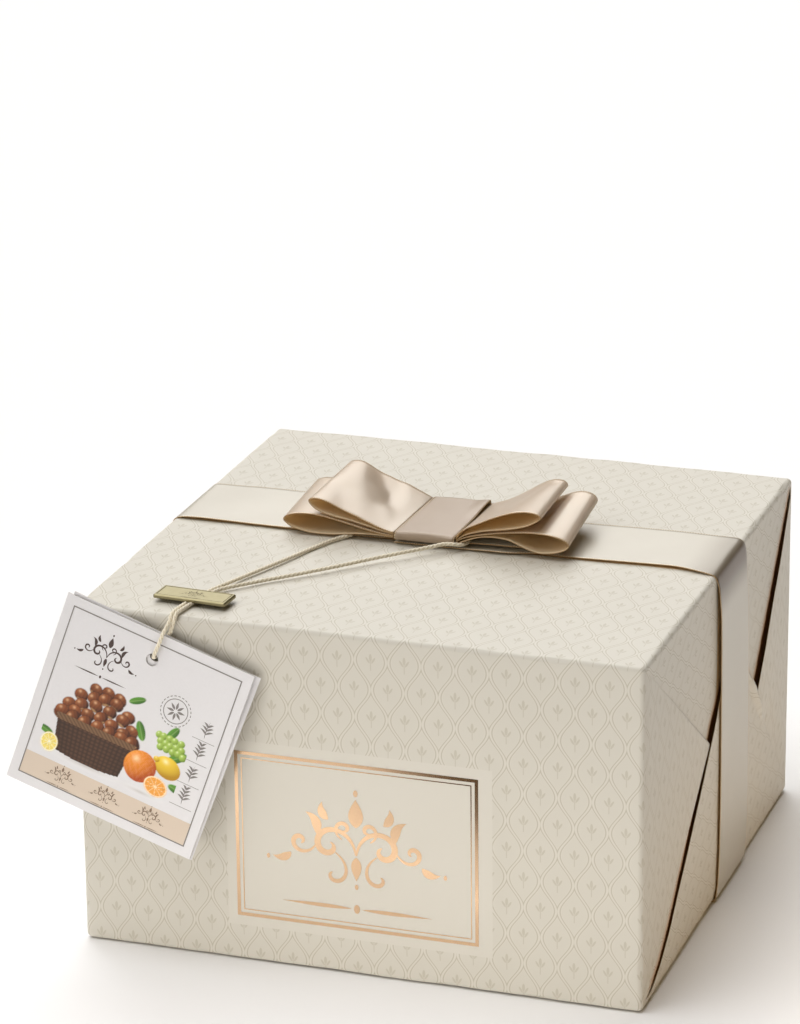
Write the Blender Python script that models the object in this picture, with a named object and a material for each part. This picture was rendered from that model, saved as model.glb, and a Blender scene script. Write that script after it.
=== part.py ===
"""A gift-wrapped cake box: a low paper-wrapped box, a wide ribbon closed round it, a flat four-loop bow
on the ribbon, and a square two-leaf tag on a thin cord that runs through a small brass plate.

Metres, +Z up. The labelled long face looks along -Y, and the origin is under the middle of the box.
Heights named TOP_... count from the top of the box.
"""
import math

import bmesh
import bpy
import numpy as np
from mathutils import Euler, Vector

# Box in its paper
BOX_WIDE = 0.250
BOX_DEEP = 0.250
BOX_TALL = 0.1546
EDGE_ROUND = 0.0025
PIECE_GAP = 0.0003

# Folds of paper on each end: (y, z) outlines, and how far each fold stands off at its free tip
BACK_FOLD = [(0.121, 0.1500), (0.121, 0.0060), (0.061, 0.0746), (0.054, 0.0812)]
BOTTOM_FOLD = [(-0.120, 0.0045), (-0.093, 0.0126), (-0.021, 0.0806), (0.004, 0.1056), (0.0104, 0.112),
               (0.0275, 0.112), (0.054, 0.0815), (0.082, 0.0500), (0.106, 0.0230), (0.120, 0.0045)]
BACK_FOLD_RISE = 0.0014
BOTTOM_FOLD_RISE = 0.0020
FOLD_ROOT = 0.0003

# Ribbon round the box
RIBBON_WIDE = 0.048
RIBBON_THICK = 0.00035
RIBBON_MID_RIGHT = 0.011
RIBBON_MID_LEFT = 0.014
RIBBON_OVERLAP = (-0.020, 0.045)
RIBBON_LIE = 0.000475
RIBBON_LIE_OVER = 0.001175
RIBBON_SHOULDER = (0.1213, 0.0020)
RIBBON_SHOULDER_ROUND = 0.0075
RIBBON_SIDE = [(0.1293, 0.1146), (0.1290, 0.0620), (0.1283, 0.0140)]
RIBBON_HEEL = (0.1247, 0.0037)
RIBBON_UNDER = 0.000275
GROOVE_Y = (-0.0150, 0.0400)
GROOVE_DEEP = 0.0009

# Bow: the front and back planes of its loops, and each loop edge as
# (start x, start height, reach, rise, bend, fullness above, fullness below, where it is fullest)
BOW_FRONT = -0.0140
BOW_BACK = 0.0350
LAYER_HALF_GAP = 0.00036
LOWER_LEFT = ((0.0200, 0.00330, 0.0510, 0.0031, 0.80, 0.0133, 0.0140, 1.9),
              (0.0190, 0.00330, 0.0546, 0.0040, 0.85, 0.0098, 0.0115, 1.7))
LOWER_RIGHT = ((0.0086, 0.00330, 0.0517, 0.0093, 0.60, 0.0010, 0.0380, 3.1),
               (0.0096, 0.00330, 0.0488, 0.0092, 1.20, 0.0130, 0.0185, 2.2))
UPPER_LEFT = ((0.0200, 0.00475, 0.0390, 0.0114, 1.05, 0.0104, 0.0128, 2.4),
              (0.0180, 0.00475, 0.0394, 0.0121, 0.85, 0.0142, 0.0110, 2.0))
UPPER_RIGHT = ((0.0086, 0.00475, 0.0385, 0.0135, 0.70, 0.0117, 0.0053, 1.0),
               (0.0096, 0.00475, 0.0352, 0.0111, 1.10, 0.0219, 0.0060, 2.4))
LOOP_STEPS = 40

# Band over the bow's middle: x of its edges at the front and at the back
KNOT_LEFT = (-0.0193, -0.0171)
KNOT_RIGHT = (0.0080, 0.0092)
KNOT_Y = (-0.0149, 0.0359)
KNOT_TOP = (0.0023, 0.00575)
KNOT_ROUND = 0.0015

# Brass plate, a flat sleeve that the cord runs through
PLATE_MID = (-0.0774, -0.1063)
PLATE_TURN = math.radians(-3.3)
PLATE_SIZE = (0.0333, 0.0125, 0.0024)
PLATE_BEVEL = 0.0009
SLEEVE_WIDE = 0.0060
SLEEVE_TALL = 0.0020

# Tag: two square leaves of card, leaning and turned as they hang
TAG_SIDE = 0.088
TAG_THICK = 0.00045
TAG_MID = Vector((-0.0978, -0.1335, 0.1058))
TAG_LEAN = math.radians(-6.1)
TAG_ROLL = math.radians(18.6)
TAG_YAW = math.radians(1.25)
TAG_HOLE = 0.0055
TAG_HOLE_AT = (0.0, 0.0318)
REAR_SET_BACK = 0.0008
REAR_SHIFT = (0.0016, 0.0005)
REAR_TURN = math.radians(1.0)
REAR_HOLE_AT = (-0.0016, 0.0336)

# Cord: both ends lie under the bow, and its middle loops through the tag's hole
CORD_RADIUS = 0.00085
CORD_STEP = 0.0046
LEFT_LEG = [(-0.0404, -0.0114, 0.00115), (-0.0468, -0.0217, 0.00115), (-0.0563, -0.0466, 0.00115),
            (-0.0657, -0.0710, 0.00115), (-0.0724, -0.0885, 0.00115), (-0.0750, -0.0960, 0.00115),
            (-0.0781, -0.1085, 0.00115), (-0.0795, -0.1150, 0.00115), (-0.0801, -0.1200, 0.00115)]
FRONT_DROP = [(-0.0803, -0.1229, 0.00110), (-0.0805, -0.1251, 0.00010), (-0.0809, -0.1268, -0.00230)]
TAG_LOOP = [(0.0011, 0.0455, 0.00155), (0.0008, 0.0400, 0.00140), (0.0005, 0.0362, 0.00140),
            (0.0004, 0.0344, 0.00120), (0.0003, 0.0334, 0.00060), (0.0003, 0.0331, -0.00030),
            (0.0004, 0.0333, -0.00130), (0.0006, 0.0344, -0.00205), (0.0009, 0.0368, -0.00220),
            (0.0017, 0.0405, -0.00220), (0.0028, 0.0440, -0.00220)]
REAR_RISE = [(-0.0793, -0.1262, -0.00260), (-0.0788, -0.1251, 0.00010), (-0.0785, -0.1229, 0.00110)]
RIGHT_LEG = [(-0.0780, -0.1200, 0.00115), (-0.0772, -0.1150, 0.00115), (-0.0758, -0.1085, 0.00115),
             (-0.0727, -0.0960, 0.00115), (-0.0698, -0.0905, 0.00115), (-0.0584, -0.0781, 0.00120),
             (-0.0450, -0.0652, 0.00150), (-0.0315, -0.0518, 0.00190), (-0.0198, -0.0395, 0.00230),
             (-0.0111, -0.0314, 0.00270), (-0.0028, -0.0240, 0.00320), (0.0012, -0.0208, 0.00360),
             (0.0048, -0.0180, 0.00390), (0.0082, -0.0167, 0.00370), (0.0110, -0.0148, 0.00310),
             (0.0124, -0.0114, 0.00270), (0.0129, -0.0078, 0.00270)]


def clear_scene():
    for old in list(bpy.data.objects):
        bpy.data.objects.remove(old, do_unlink=True)


def material(name, colour, roughness, metallic=0.0):
    made = bpy.data.materials.new(name)
    made.use_nodes = True
    shader = made.node_tree.nodes["Principled BSDF"]
    shader.inputs["Base Color"].default_value = (*colour, 1.0)
    shader.inputs["Roughness"].default_value = roughness
    shader.inputs["Metallic"].default_value = metallic
    return made


def add_object(name, shape, finish):
    """Turn a bmesh into a named object with one material and outward faces."""
    bmesh.ops.recalc_face_normals(shape, faces=shape.faces)
    mesh = bpy.data.meshes.new(name)
    shape.to_mesh(mesh)
    shape.free()
    mesh.materials.append(finish)
    made = bpy.data.objects.new(name, mesh)
    bpy.context.collection.objects.link(made)
    return made


def combine(target, tool, operation):
    """Join or cut with another object, which stays as a hidden tool."""
    tool.hide_render = True
    tool.display_type = "WIRE"
    step = target.modifiers.new(operation.title(), "BOOLEAN")
    step.operation = operation
    step.solver = "EXACT"
    step.object = tool


def block(name, size, centre, finish, round_by=0.0, segments=3):
    shape = bmesh.new()
    bmesh.ops.create_cube(shape, size=1.0)
    bmesh.ops.scale(shape, vec=size, verts=shape.verts)
    if round_by:
        bmesh.ops.bevel(shape, geom=shape.edges[:], offset=round_by, segments=segments, profile=0.5,
                        affect="EDGES")
    bmesh.ops.translate(shape, vec=centre, verts=shape.verts)
    return add_object(name, shape, finish)


def fold_wedge(name, outline, side, stand_off, finish):
    """One fold of paper on an end: a slab whose outer face stands off by stand_off(y, z)."""
    shape = bmesh.new()
    inner = [shape.verts.new((side * (BOX_WIDE / 2 - 0.004), y, z)) for y, z in outline]
    outer = [shape.verts.new((side * (BOX_WIDE / 2 - FOLD_ROOT + stand_off(y, z)), y, z)) for y, z in outline]
    shape.faces.new(inner)
    shape.faces.new(outer)
    for i in range(len(outline)):
        j = (i + 1) % len(outline)
        shape.faces.new((inner[i], inner[j], outer[j], outer[i]))
    return add_object(name, shape, finish)


def make_box():
    """The wrapped box, its folded ends, and the groove underneath that the ribbon passes through."""
    paper = material("Ivory gift paper", (0.80, 0.77, 0.68), 0.62)
    box = block("wrapped_box", (BOX_WIDE, BOX_DEEP, BOX_TALL), (0, 0, BOX_TALL / 2), paper, EDGE_ROUND)
    back_root, back_tip = BACK_FOLD[0][0], BACK_FOLD[-1][0]
    low_root, low_tip = BOTTOM_FOLD[0][1], BOTTOM_FOLD[4][1]
    folds = [
        ("back", BACK_FOLD, lambda y, z: BACK_FOLD_RISE * (back_root - y) / (back_root - back_tip)),
        ("bottom", BOTTOM_FOLD, lambda y, z: BOTTOM_FOLD_RISE * (z - low_root) / (low_tip - low_root)),
    ]
    for side, side_name in ((1, "right"), (-1, "left")):
        for fold_name, outline, stand_off in folds:
            wedge = fold_wedge(f"{fold_name}_fold_{side_name}", outline, side, stand_off, paper)
            combine(box, wedge, "UNION")
    groove_wide = GROOVE_Y[1] - GROOVE_Y[0]
    groove = block("ribbon_groove", (BOX_WIDE * 1.2, groove_wide, 2 * GROOVE_DEEP),
                   (0, sum(GROOVE_Y) / 2, 0), paper)
    combine(box, groove, "DIFFERENCE")


def ribbon_strip(name, left, right, finish, closed=False):
    """A strip of ribbon between two edge lines, with its thickness laid half on each side."""
    left, right = np.array(left), np.array(right)
    if closed:
        ahead, behind = np.roll(left + right, -1, axis=0), np.roll(left + right, 1, axis=0)
        along = ahead - behind
    else:
        along = np.gradient(left + right, axis=0)
    normal = np.cross(along, right - left)
    normal *= RIBBON_THICK / 2 / np.linalg.norm(normal, axis=1, keepdims=True)
    shape = bmesh.new()
    rings = [[shape.verts.new(p) for p in (a + n, b + n, b - n, a - n)] for a, b, n in zip(left, right, normal)]
    count = len(rings)
    for i in range(count if closed else count - 1):
        here, there = rings[i], rings[(i + 1) % count]
        for k in range(4):
            shape.faces.new((here[k], here[(k + 1) % 4], there[(k + 1) % 4], there[k]))
    if not closed:
        shape.faces.new(rings[0])
        shape.faces.new(rings[-1])
    return add_object(name, shape, finish)


def arc(centre, radius, start, end, steps):
    angles = np.radians(np.linspace(start, end, steps))
    return np.stack([centre[0] + radius * np.cos(angles), centre[1] + radius * np.sin(angles)], axis=1)


def side_profile():
    """(x, z) of the ribbon from the flat of the top, over the right edge, to the flat underneath."""
    lift = np.linspace(0.0, 1.0, 7)
    ease = lift * lift * (3 - 2 * lift)
    run_x = 0.100 + (RIBBON_SHOULDER[0] - 0.100) * lift
    run_z = BOX_TALL + RIBBON_LIE + (RIBBON_SHOULDER[1] - RIBBON_LIE) * ease
    over = arc((RIBBON_SHOULDER[0], BOX_TALL + RIBBON_SHOULDER[1] - RIBBON_SHOULDER_ROUND),
               RIBBON_SHOULDER_ROUND, 90, 0, 9)
    heel = arc(RIBBON_HEEL, RIBBON_HEEL[1] - RIBBON_UNDER, 0, -90, 7)
    return np.concatenate([np.stack([run_x, run_z], axis=1)[:-1], over, RIBBON_SIDE, heel])


def make_ribbon_band(satin):
    """The ribbon round the box. Its right end lies beneath, and its left end crosses over it."""
    side = side_profile()
    other_side = side[::-1] * (-1, 1)
    end_under, end_over = RIBBON_OVERLAP
    top = BOX_TALL
    crossing = [(end_under - 0.009, top + RIBBON_LIE), (end_under - 0.003, top + RIBBON_LIE_OVER),
                (end_over, top + RIBBON_LIE_OVER)]
    path = np.concatenate([[(end_under, top + RIBBON_LIE)], side, other_side, crossing])
    run = np.concatenate([[0.0], np.cumsum(np.linalg.norm(np.diff(path, axis=0), axis=1))])
    middle = RIBBON_MID_RIGHT + (RIBBON_MID_LEFT - RIBBON_MID_RIGHT) * run / run[-1]
    front = np.stack([path[:, 0], middle - RIBBON_WIDE / 2, path[:, 1]], axis=1)
    back = np.stack([path[:, 0], middle + RIBBON_WIDE / 2, path[:, 1]], axis=1)
    ribbon_strip("ribbon_band", front, back, satin)


def loop_edge(edge, side, y):
    """One edge of a bow loop, a teardrop that leaves the knot on top and comes back below.

    With u from 0 to 2 pi, s = sin(u/2)^2 goes out and back and c = cos(u/2) goes from top to bottom.
    The middle line is (start + reach s, start height + rise s^bend), and the two layers part from it
    by fullness s^fullest c, plus the small half gap along its normal.
    """
    start_x, start_z, reach, rise, bend, above, below, fullest = edge
    u = np.linspace(0, 2 * math.pi, LOOP_STEPS)
    s, c = np.sin(u / 2) ** 2, np.cos(u / 2)
    slope = rise * bend * np.maximum(s, 1e-4) ** (bend - 1)
    length = np.hypot(reach, slope)
    full = np.where(c > 0, above, below)
    x = start_x + reach * s - LAYER_HALF_GAP * c * slope / length
    z = start_z + rise * s ** bend + LAYER_HALF_GAP * c * reach / length + full * s ** fullest * c
    return np.stack([side * x, np.full_like(x, y), BOX_TALL + z], axis=1)


def make_loop_pair(name, left, right, satin):
    """A closed length of ribbon laid as two loops, one on each side of the knot."""
    edges = []
    for k, y in ((0, BOW_FRONT), (1, BOW_BACK)):
        right_edge = loop_edge(right[k], 1, y)
        left_edge = loop_edge(left[k], -1, y)[::-1]
        edges.append(np.concatenate([right_edge, left_edge]))
    ribbon_strip(name, *edges, satin, closed=True)


def make_bow(satin):
    make_loop_pair("bow_lower_loops", LOWER_LEFT, LOWER_RIGHT, satin)
    make_loop_pair("bow_upper_loops", UPPER_LEFT, UPPER_RIGHT, satin)
    y_front, y_back = KNOT_Y
    z_low, z_high = BOX_TALL + KNOT_TOP[0], BOX_TALL + KNOT_TOP[1]
    corners = [(y_back, z_high, 90), (y_back, z_low, 0), (y_front, z_low, -90), (y_front, z_high, -180)]
    ring = []
    for y, z, start in corners:
        centre = (y - KNOT_ROUND if y == y_back else y + KNOT_ROUND,
                  z - KNOT_ROUND if z == z_high else z + KNOT_ROUND)
        ring.append(arc(centre, KNOT_ROUND, start, start - 90, 5))
    ring = np.concatenate(ring)
    share = (ring[:, 0] - y_front) / (y_back - y_front)
    edges = [np.stack([x[0] + (x[1] - x[0]) * share, ring[:, 0], ring[:, 1]], axis=1)
             for x in (KNOT_LEFT, KNOT_RIGHT)]
    ribbon_strip("bow_knot_band", *edges, satin, closed=True)


def make_plate():
    """The brass sleeve plate: a slab with a bevelled rim above and a channel for the two cord runs."""
    brass = material("Pale brass", (0.60, 0.52, 0.28), 0.30, 1.0)
    wide, deep, tall = PLATE_SIZE
    shape = bmesh.new()
    bmesh.ops.create_cube(shape, size=1.0)
    bmesh.ops.scale(shape, vec=PLATE_SIZE, verts=shape.verts)
    rim = [edge for edge in shape.edges if all(v.co.z > 0 for v in edge.verts)]
    bmesh.ops.bevel(shape, geom=rim, offset=PLATE_BEVEL, segments=1, affect="EDGES")
    plate = add_object("brass_plate", shape, brass)
    plate.location = (*PLATE_MID, BOX_TALL + PIECE_GAP + tall / 2)
    plate.rotation_euler = (0, 0, PLATE_TURN)
    sleeve = block("plate_sleeve", (SLEEVE_WIDE, deep * 1.5, 2 * SLEEVE_TALL), (0, 0, 0), brass)
    sleeve.location = (*PLATE_MID, BOX_TALL + PIECE_GAP)
    sleeve.rotation_euler = (0, 0, math.radians(-14))
    combine(plate, sleeve, "DIFFERENCE")


def tag_frame():
    return Euler((TAG_LEAN, TAG_ROLL, TAG_YAW), "YXZ").to_matrix()


def tag_point(right, up, out):
    """A point given in the front leaf's own plane, in the part's frame."""
    return TAG_MID + tag_frame() @ Vector((right, -out, up))


def make_leaf(name, hole_at, finish):
    leaf = block(name, (TAG_SIDE, TAG_THICK, TAG_SIDE), (0, 0, 0), finish)
    shape = bmesh.new()
    bmesh.ops.create_cone(shape, cap_ends=True, segments=28, radius1=TAG_HOLE / 2, radius2=TAG_HOLE / 2,
                          depth=TAG_THICK * 6)
    punch = add_object(f"{name}_punch", shape, finish)
    punch.parent = leaf
    punch.location = (hole_at[0], 0, hole_at[1])
    punch.rotation_euler = (math.radians(90), 0, 0)
    combine(leaf, punch, "DIFFERENCE")
    leaf.rotation_mode = "YXZ"
    return leaf


def make_tag():
    """Two leaves of white card, the rear one set back, shifted and turned a little."""
    card = material("White card", (0.76, 0.73, 0.71), 0.55)
    front = make_leaf("tag_front", TAG_HOLE_AT, card)
    front.location = TAG_MID
    front.rotation_euler = (TAG_LEAN, TAG_ROLL, TAG_YAW)
    rear = make_leaf("tag_rear", REAR_HOLE_AT, card)
    rear.location = tag_point(*REAR_SHIFT, -REAR_SET_BACK)
    rear.rotation_euler = (TAG_LEAN, TAG_ROLL + REAR_TURN, TAG_YAW)


def smooth_route(points, step):
    """Points about one step apart on a Catmull-Rom curve through the route."""
    points = np.array(points)
    padded = np.concatenate([[2 * points[0] - points[1]], points, [2 * points[-1] - points[-2]]])
    out = [points[0]]
    for before, start, end, after in zip(padded, padded[1:], padded[2:], padded[3:]):
        count = max(1, round(float(np.linalg.norm(end - start)) / step))
        t = np.linspace(0, 1, count + 1)[1:, None]
        out.extend(0.5 * (2 * start + (end - before) * t + (2 * before - 5 * start + 4 * end - after) * t ** 2
                          + (3 * start - before - 3 * end + after) * t ** 3))
    return np.array(out)


def make_cord():
    """One twisted cord: down to the tag on the front, through its hole, and back up behind it."""
    cotton = material("Cream twisted cord", (0.74, 0.66, 0.50), 0.80)
    over_top = [[(x, y, BOX_TALL + z) for x, y, z in run] for run in (LEFT_LEG, FRONT_DROP, REAR_RISE, RIGHT_LEG)]
    loop = [tuple(tag_point(*place)) for place in TAG_LOOP]
    route = smooth_route(over_top[0] + over_top[1] + loop + over_top[2] + over_top[3], CORD_STEP)
    curve = bpy.data.curves.new("tag_cord", "CURVE")
    curve.dimensions = "3D"
    curve.bevel_depth = CORD_RADIUS
    curve.bevel_resolution = 2
    curve.use_fill_caps = True
    spline = curve.splines.new("POLY")
    spline.points.add(len(route) - 1)
    for point, place in zip(spline.points, route):
        point.co = (*place, 1.0)
    curve.materials.append(cotton)
    cord = bpy.data.objects.new("tag_cord", curve)
    bpy.context.collection.objects.link(cord)


clear_scene()
make_box()
satin_band = material("Champagne satin", (0.78, 0.70, 0.58), 0.38)
satin_bow = material("Ivory satin", (0.83, 0.76, 0.66), 0.36)
make_ribbon_band(satin_band)
make_bow(satin_bow)
make_plate()
make_tag()
make_cord()
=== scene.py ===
"""A gift-wrapped panettone box, dressed over its CAD frame: patterned ivory paper with folded ends, a foil
frame on the front, a champagne ribbon with a flat loop bow, and a card tag on a twisted cord.

Metres, +Z up. The framed long face looks along -Y. Every surface is a formula on a grid: a point is
worked out from two parameters, one along the piece and one across it.
"""

import math

import bmesh
import bpy
import numpy as np
from mathutils import Euler, Matrix, Vector


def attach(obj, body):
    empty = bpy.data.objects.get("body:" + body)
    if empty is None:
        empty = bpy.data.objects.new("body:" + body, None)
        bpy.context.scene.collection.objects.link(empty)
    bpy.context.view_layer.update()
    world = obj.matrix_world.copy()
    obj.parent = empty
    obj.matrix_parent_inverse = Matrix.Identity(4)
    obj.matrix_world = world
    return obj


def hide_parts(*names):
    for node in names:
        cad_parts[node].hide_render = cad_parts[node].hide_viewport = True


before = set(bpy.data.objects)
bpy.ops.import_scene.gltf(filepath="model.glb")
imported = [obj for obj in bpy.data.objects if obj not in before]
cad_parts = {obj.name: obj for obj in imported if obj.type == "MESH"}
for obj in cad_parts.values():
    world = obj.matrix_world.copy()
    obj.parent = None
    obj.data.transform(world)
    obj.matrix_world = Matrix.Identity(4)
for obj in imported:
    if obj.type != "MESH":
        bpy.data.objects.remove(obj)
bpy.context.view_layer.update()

# The camera
# A long lens from the front and a little to the right, looking down on the box.
CAMERA_AT = (0.55646, -1.68797, 0.79474)
CAMERA_TURN, CAMERA_TILT, CAMERA_ROLL = 18.907, 19.456, -0.624


def new_object(name, data):
    """An object with this name and data, in the scene."""
    made = bpy.data.objects.new(name, data)
    bpy.context.scene.collection.objects.link(made)
    return made


camera = new_object("camera", bpy.data.cameras.new("camera"))
camera.data.lens, camera.data.sensor_width = 151.26, 36.0
camera.data.clip_start, camera.data.clip_end = 0.05, 30.0
camera.location = CAMERA_AT
facing = Euler((math.radians(90 - CAMERA_TILT), 0, math.radians(CAMERA_TURN))).to_matrix()
camera.rotation_euler = (facing @ Matrix.Rotation(math.radians(CAMERA_ROLL), 3, "Z")).to_euler()
bpy.context.scene.camera = camera

# The tag's cord
# One cream cotton cord of three plies, twisted. Both ends lie under the bow, and its middle goes
# down over the front edge, through the hole in the tag and back up behind it.
BOX_TALL = 0.1546
TAG_MID = Vector((-0.0978, -0.1335, 0.1058))
TAG_TURN = Euler((math.radians(-6.1), math.radians(18.6), math.radians(1.25)), "YXZ").to_matrix()
CORD_WIDE = 0.0018
PLY_PITCH = 0.0064
# a ply's radius as a share of the cord's
PLY_SHARE = 0.56
# places along the cord, in order: (x, y, height over the box's top), and on the tag (right, up, out)
LEFT_LEG = [(-0.0404, -0.0114, 0.00115), (-0.0468, -0.0217, 0.00115), (-0.0563, -0.0466, 0.00115),
            (-0.0657, -0.0710, 0.00115), (-0.0724, -0.0885, 0.00115), (-0.0750, -0.0960, 0.00115),
            (-0.0781, -0.1085, 0.00115), (-0.0795, -0.1150, 0.00115), (-0.0801, -0.1200, 0.00115)]
FRONT_DROP = [(-0.0803, -0.1229, 0.00110), (-0.0805, -0.1251, 0.00010), (-0.0809, -0.1268, -0.00230)]
TAG_LOOP = [(0.0011, 0.0455, 0.00155), (0.0008, 0.0400, 0.00140), (0.0005, 0.0362, 0.00140),
            (0.0004, 0.0344, 0.00120), (0.0003, 0.0334, 0.00060), (0.0003, 0.0331, -0.00030),
            (0.0004, 0.0333, -0.00130), (0.0006, 0.0344, -0.00205), (0.0009, 0.0368, -0.00220),
            (0.0017, 0.0405, -0.00220), (0.0028, 0.0440, -0.00220)]
REAR_RISE = [(-0.0793, -0.1262, -0.00260), (-0.0788, -0.1251, 0.00010), (-0.0785, -0.1229, 0.00110)]
RIGHT_LEG = [(-0.0780, -0.1200, 0.00115), (-0.0772, -0.1150, 0.00115), (-0.0758, -0.1085, 0.00115),
             (-0.0727, -0.0960, 0.00115), (-0.0698, -0.0905, 0.00115), (-0.0584, -0.0781, 0.00120),
             (-0.0450, -0.0652, 0.00150), (-0.0315, -0.0518, 0.00190), (-0.0198, -0.0395, 0.00230),
             (-0.0111, -0.0314, 0.00270), (-0.0028, -0.0240, 0.00320), (0.0012, -0.0208, 0.00360),
             (0.0048, -0.0180, 0.00390), (0.0082, -0.0167, 0.00370), (0.0110, -0.0148, 0.00310),
             (0.0124, -0.0114, 0.00270), (0.0129, -0.0078, 0.00270)]


def linear(code):
    """An sRGB hex colour as linear red, green, blue and alpha."""
    values = np.array([int(code[i:i + 2], 16) / 255 for i in (1, 3, 5)])
    values = np.where(values <= 0.04045, values / 12.92, ((values + 0.055) / 1.055) ** 2.4)
    return (*values.tolist(), 1.0)


def feed(node, inputs):
    """A node's inputs, each linked from a socket or a node's first live output, or set; a hex is a colour."""
    for key, value in inputs.items():
        if isinstance(value, bpy.types.Node):
            value = next(socket for socket in value.outputs if socket.enabled)
        if isinstance(value, bpy.types.NodeSocket):
            node.id_data.links.new(value, node.inputs[key])
        else:
            node.inputs[key].default_value = linear(value) if isinstance(value, str) else value


def add(tree, kind, inputs=(), **settings):
    """A node with its settings and its inputs."""
    made = tree.nodes.new("ShaderNode" + kind)
    for key, value in settings.items():
        setattr(made, key, value)
    feed(made, dict(inputs))
    return made


def new_finish(name, rough, inputs=()):
    """A material with one Principled shader, its roughness and its other uniform inputs."""
    finish = bpy.data.materials.new(name)
    finish.use_nodes = True
    shader = finish.node_tree.nodes["Principled BSDF"]
    feed(shader, {"Roughness": rough, **dict(inputs)})
    return finish, finish.node_tree, shader


def together(*parts):
    """Arrays spread over each other and stacked, such as x, y and z into points."""
    return np.stack(np.broadcast_arrays(*parts), axis=-1)


def smooth_through(points, step):
    """Points about one step apart on the Catmull-Rom curve through a list of points."""
    points = np.array(points, float)
    padded = np.concatenate([[2 * points[0] - points[1]], points, [2 * points[-1] - points[-2]]])
    out = [points[:1]]
    for before, start, end, after in zip(padded, padded[1:], padded[2:], padded[3:]):
        count = max(1, round(float(np.linalg.norm(end - start)) / step))
        t = np.linspace(0, 1, count + 1)[1:, None]
        square, cube = 2 * before - 5 * start + 4 * end - after, 3 * start - before - 3 * end + after
        out.append(0.5 * (2 * start + (end - before) * t + square * t ** 2 + cube * t ** 3))
    return np.concatenate(out)


def run_length(points):
    """The length run along a line at each of its points."""
    return np.concatenate([[0.0], np.cumsum(np.linalg.norm(np.diff(points, axis=0), axis=1))])


def evenly(points, count):
    """The same line with its points spaced evenly along it."""
    run = run_length(points)
    at = np.linspace(0, run[-1], count)
    return np.stack([np.interp(at, run, column) for column in points.T], axis=1)


def new_piece(name, points, polygons, *finishes):
    """A piece on the root body from its points, its polygons and its finishes."""
    mesh = bpy.data.meshes.new(name)
    mesh.from_pydata(np.reshape(points, (-1, 3)).tolist(), [], polygons)
    for finish in finishes:
        mesh.materials.append(finish)
    piece = new_object(name, mesh)
    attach(piece, "root")
    return piece


def corners_of(index):
    """The four corners of each cell of a grid of numbers."""
    return np.stack([index[:-1, :-1], index[:-1, 1:], index[1:, 1:], index[1:, :-1]], axis=-1).reshape(-1, 4)


def grid_piece(name, points, uv, finishes, wrap=False, caps=False, thick=0.0, shift=0.0):
    """A piece from a grid of points (rows, columns, 3) with its own flat map in metres.

    wrap joins the last row to the first, caps closes both ends of a tube of columns that meet, and
    thick gives a sheet its thickness. The finishes are those of its face, its rim and its back.
    """
    rows, columns = points.shape[:2]
    index = np.arange(rows * columns).reshape(rows, columns)
    if wrap:
        index = np.concatenate([index, index[:1]])
    polygons = corners_of(index).tolist()
    if caps:
        polygons += [index[0, :-1].tolist()[::-1], index[-1, :-1].tolist()]
    piece = new_piece(name, points, polygons, *finishes)
    if uv is not None:
        layer = piece.data.uv_layers.new(name="flat")
        flat = np.concatenate([uv, uv[:1] + (uv[-1:] - uv[-2:-1]) * rows]) if wrap else uv
        values = flat.reshape(-1, 2)[corners_of(np.arange(len(flat) * columns).reshape(-1, columns)).ravel()]
        if caps:
            values = np.concatenate([values, np.zeros((2 * (columns - 1), 2))])
        layer.data.foreach_set("uv", values.astype(np.float32).ravel())
    piece.data.shade_smooth()
    if thick:
        sheet = piece.modifiers.new("Thickness", "SOLIDIFY")
        sheet.thickness, sheet.offset = thick, shift
        sheet.material_offset_rim = int(len(finishes) > 1)
        sheet.material_offset = 2 * int(len(finishes) > 2)
    return piece


def merge(piece):
    """Join the points that meet along seams, ends and poles."""
    shape = bmesh.new()
    shape.from_mesh(piece.data)
    bmesh.ops.remove_doubles(shape, verts=shape.verts, dist=1e-6)
    shape.to_mesh(piece.data)
    shape.free()
    piece.data.shade_smooth()


def on_tag(right, up, out=0.0):
    """Places on the tag: right and up on its face, and out in front of its middle plane."""
    return np.array(TAG_MID) + together(right, -np.asarray(out), up) @ np.array(TAG_TURN).T


def on_top(run):
    """Places given by their height over the box's top."""
    return [(x, y, BOX_TALL + z) for x, y, z in run]


def twisted_cord(path):
    """A three-ply cord: round the path, the radius is that of three circles that touch at its middle.

    With a the angle from the nearest ply's middle, d the way out to that middle and p the ply's radius,
    the radius is d cos a + sqrt(p^2 - d^2 sin^2 a), uneven by 3 % where the yarn is spun thicker. The
    plies turn once in every pitch.
    """
    run = run_length(path)
    along = np.gradient(path, axis=0)
    along /= np.linalg.norm(along, axis=1, keepdims=True)
    side = np.cross(along, (1.0, 0.0, 0.0))
    side /= np.linalg.norm(side, axis=1, keepdims=True)
    up = np.cross(side, along)
    angle = np.linspace(0, 2 * math.pi, 25)
    ply = CORD_WIDE / 2 * PLY_SHARE
    out = CORD_WIDE / 2 - ply
    twist = angle - 2 * math.pi * run[:, None] / PLY_PITCH
    from_ply = (twist + math.pi / 3) % (2 * math.pi / 3) - math.pi / 3
    radius = out * np.cos(from_ply) + np.sqrt(ply ** 2 - (out * np.sin(from_ply)) ** 2)
    radius *= 1 + 0.03 * (np.sin(run * 900) * np.sin(run * 2300 + 1))[:, None]
    turned = np.cos(angle)[:, None] * side[:, None] + np.sin(angle)[:, None] * up[:, None]
    points = path[:, None] + radius[..., None] * turned
    uv = together(from_ply, run[:, None])
    piece = grid_piece("tag_cord_yarn", points[:, ::-1], uv[:, ::-1], [cotton], caps=True)
    merge(piece)
    return piece


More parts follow.
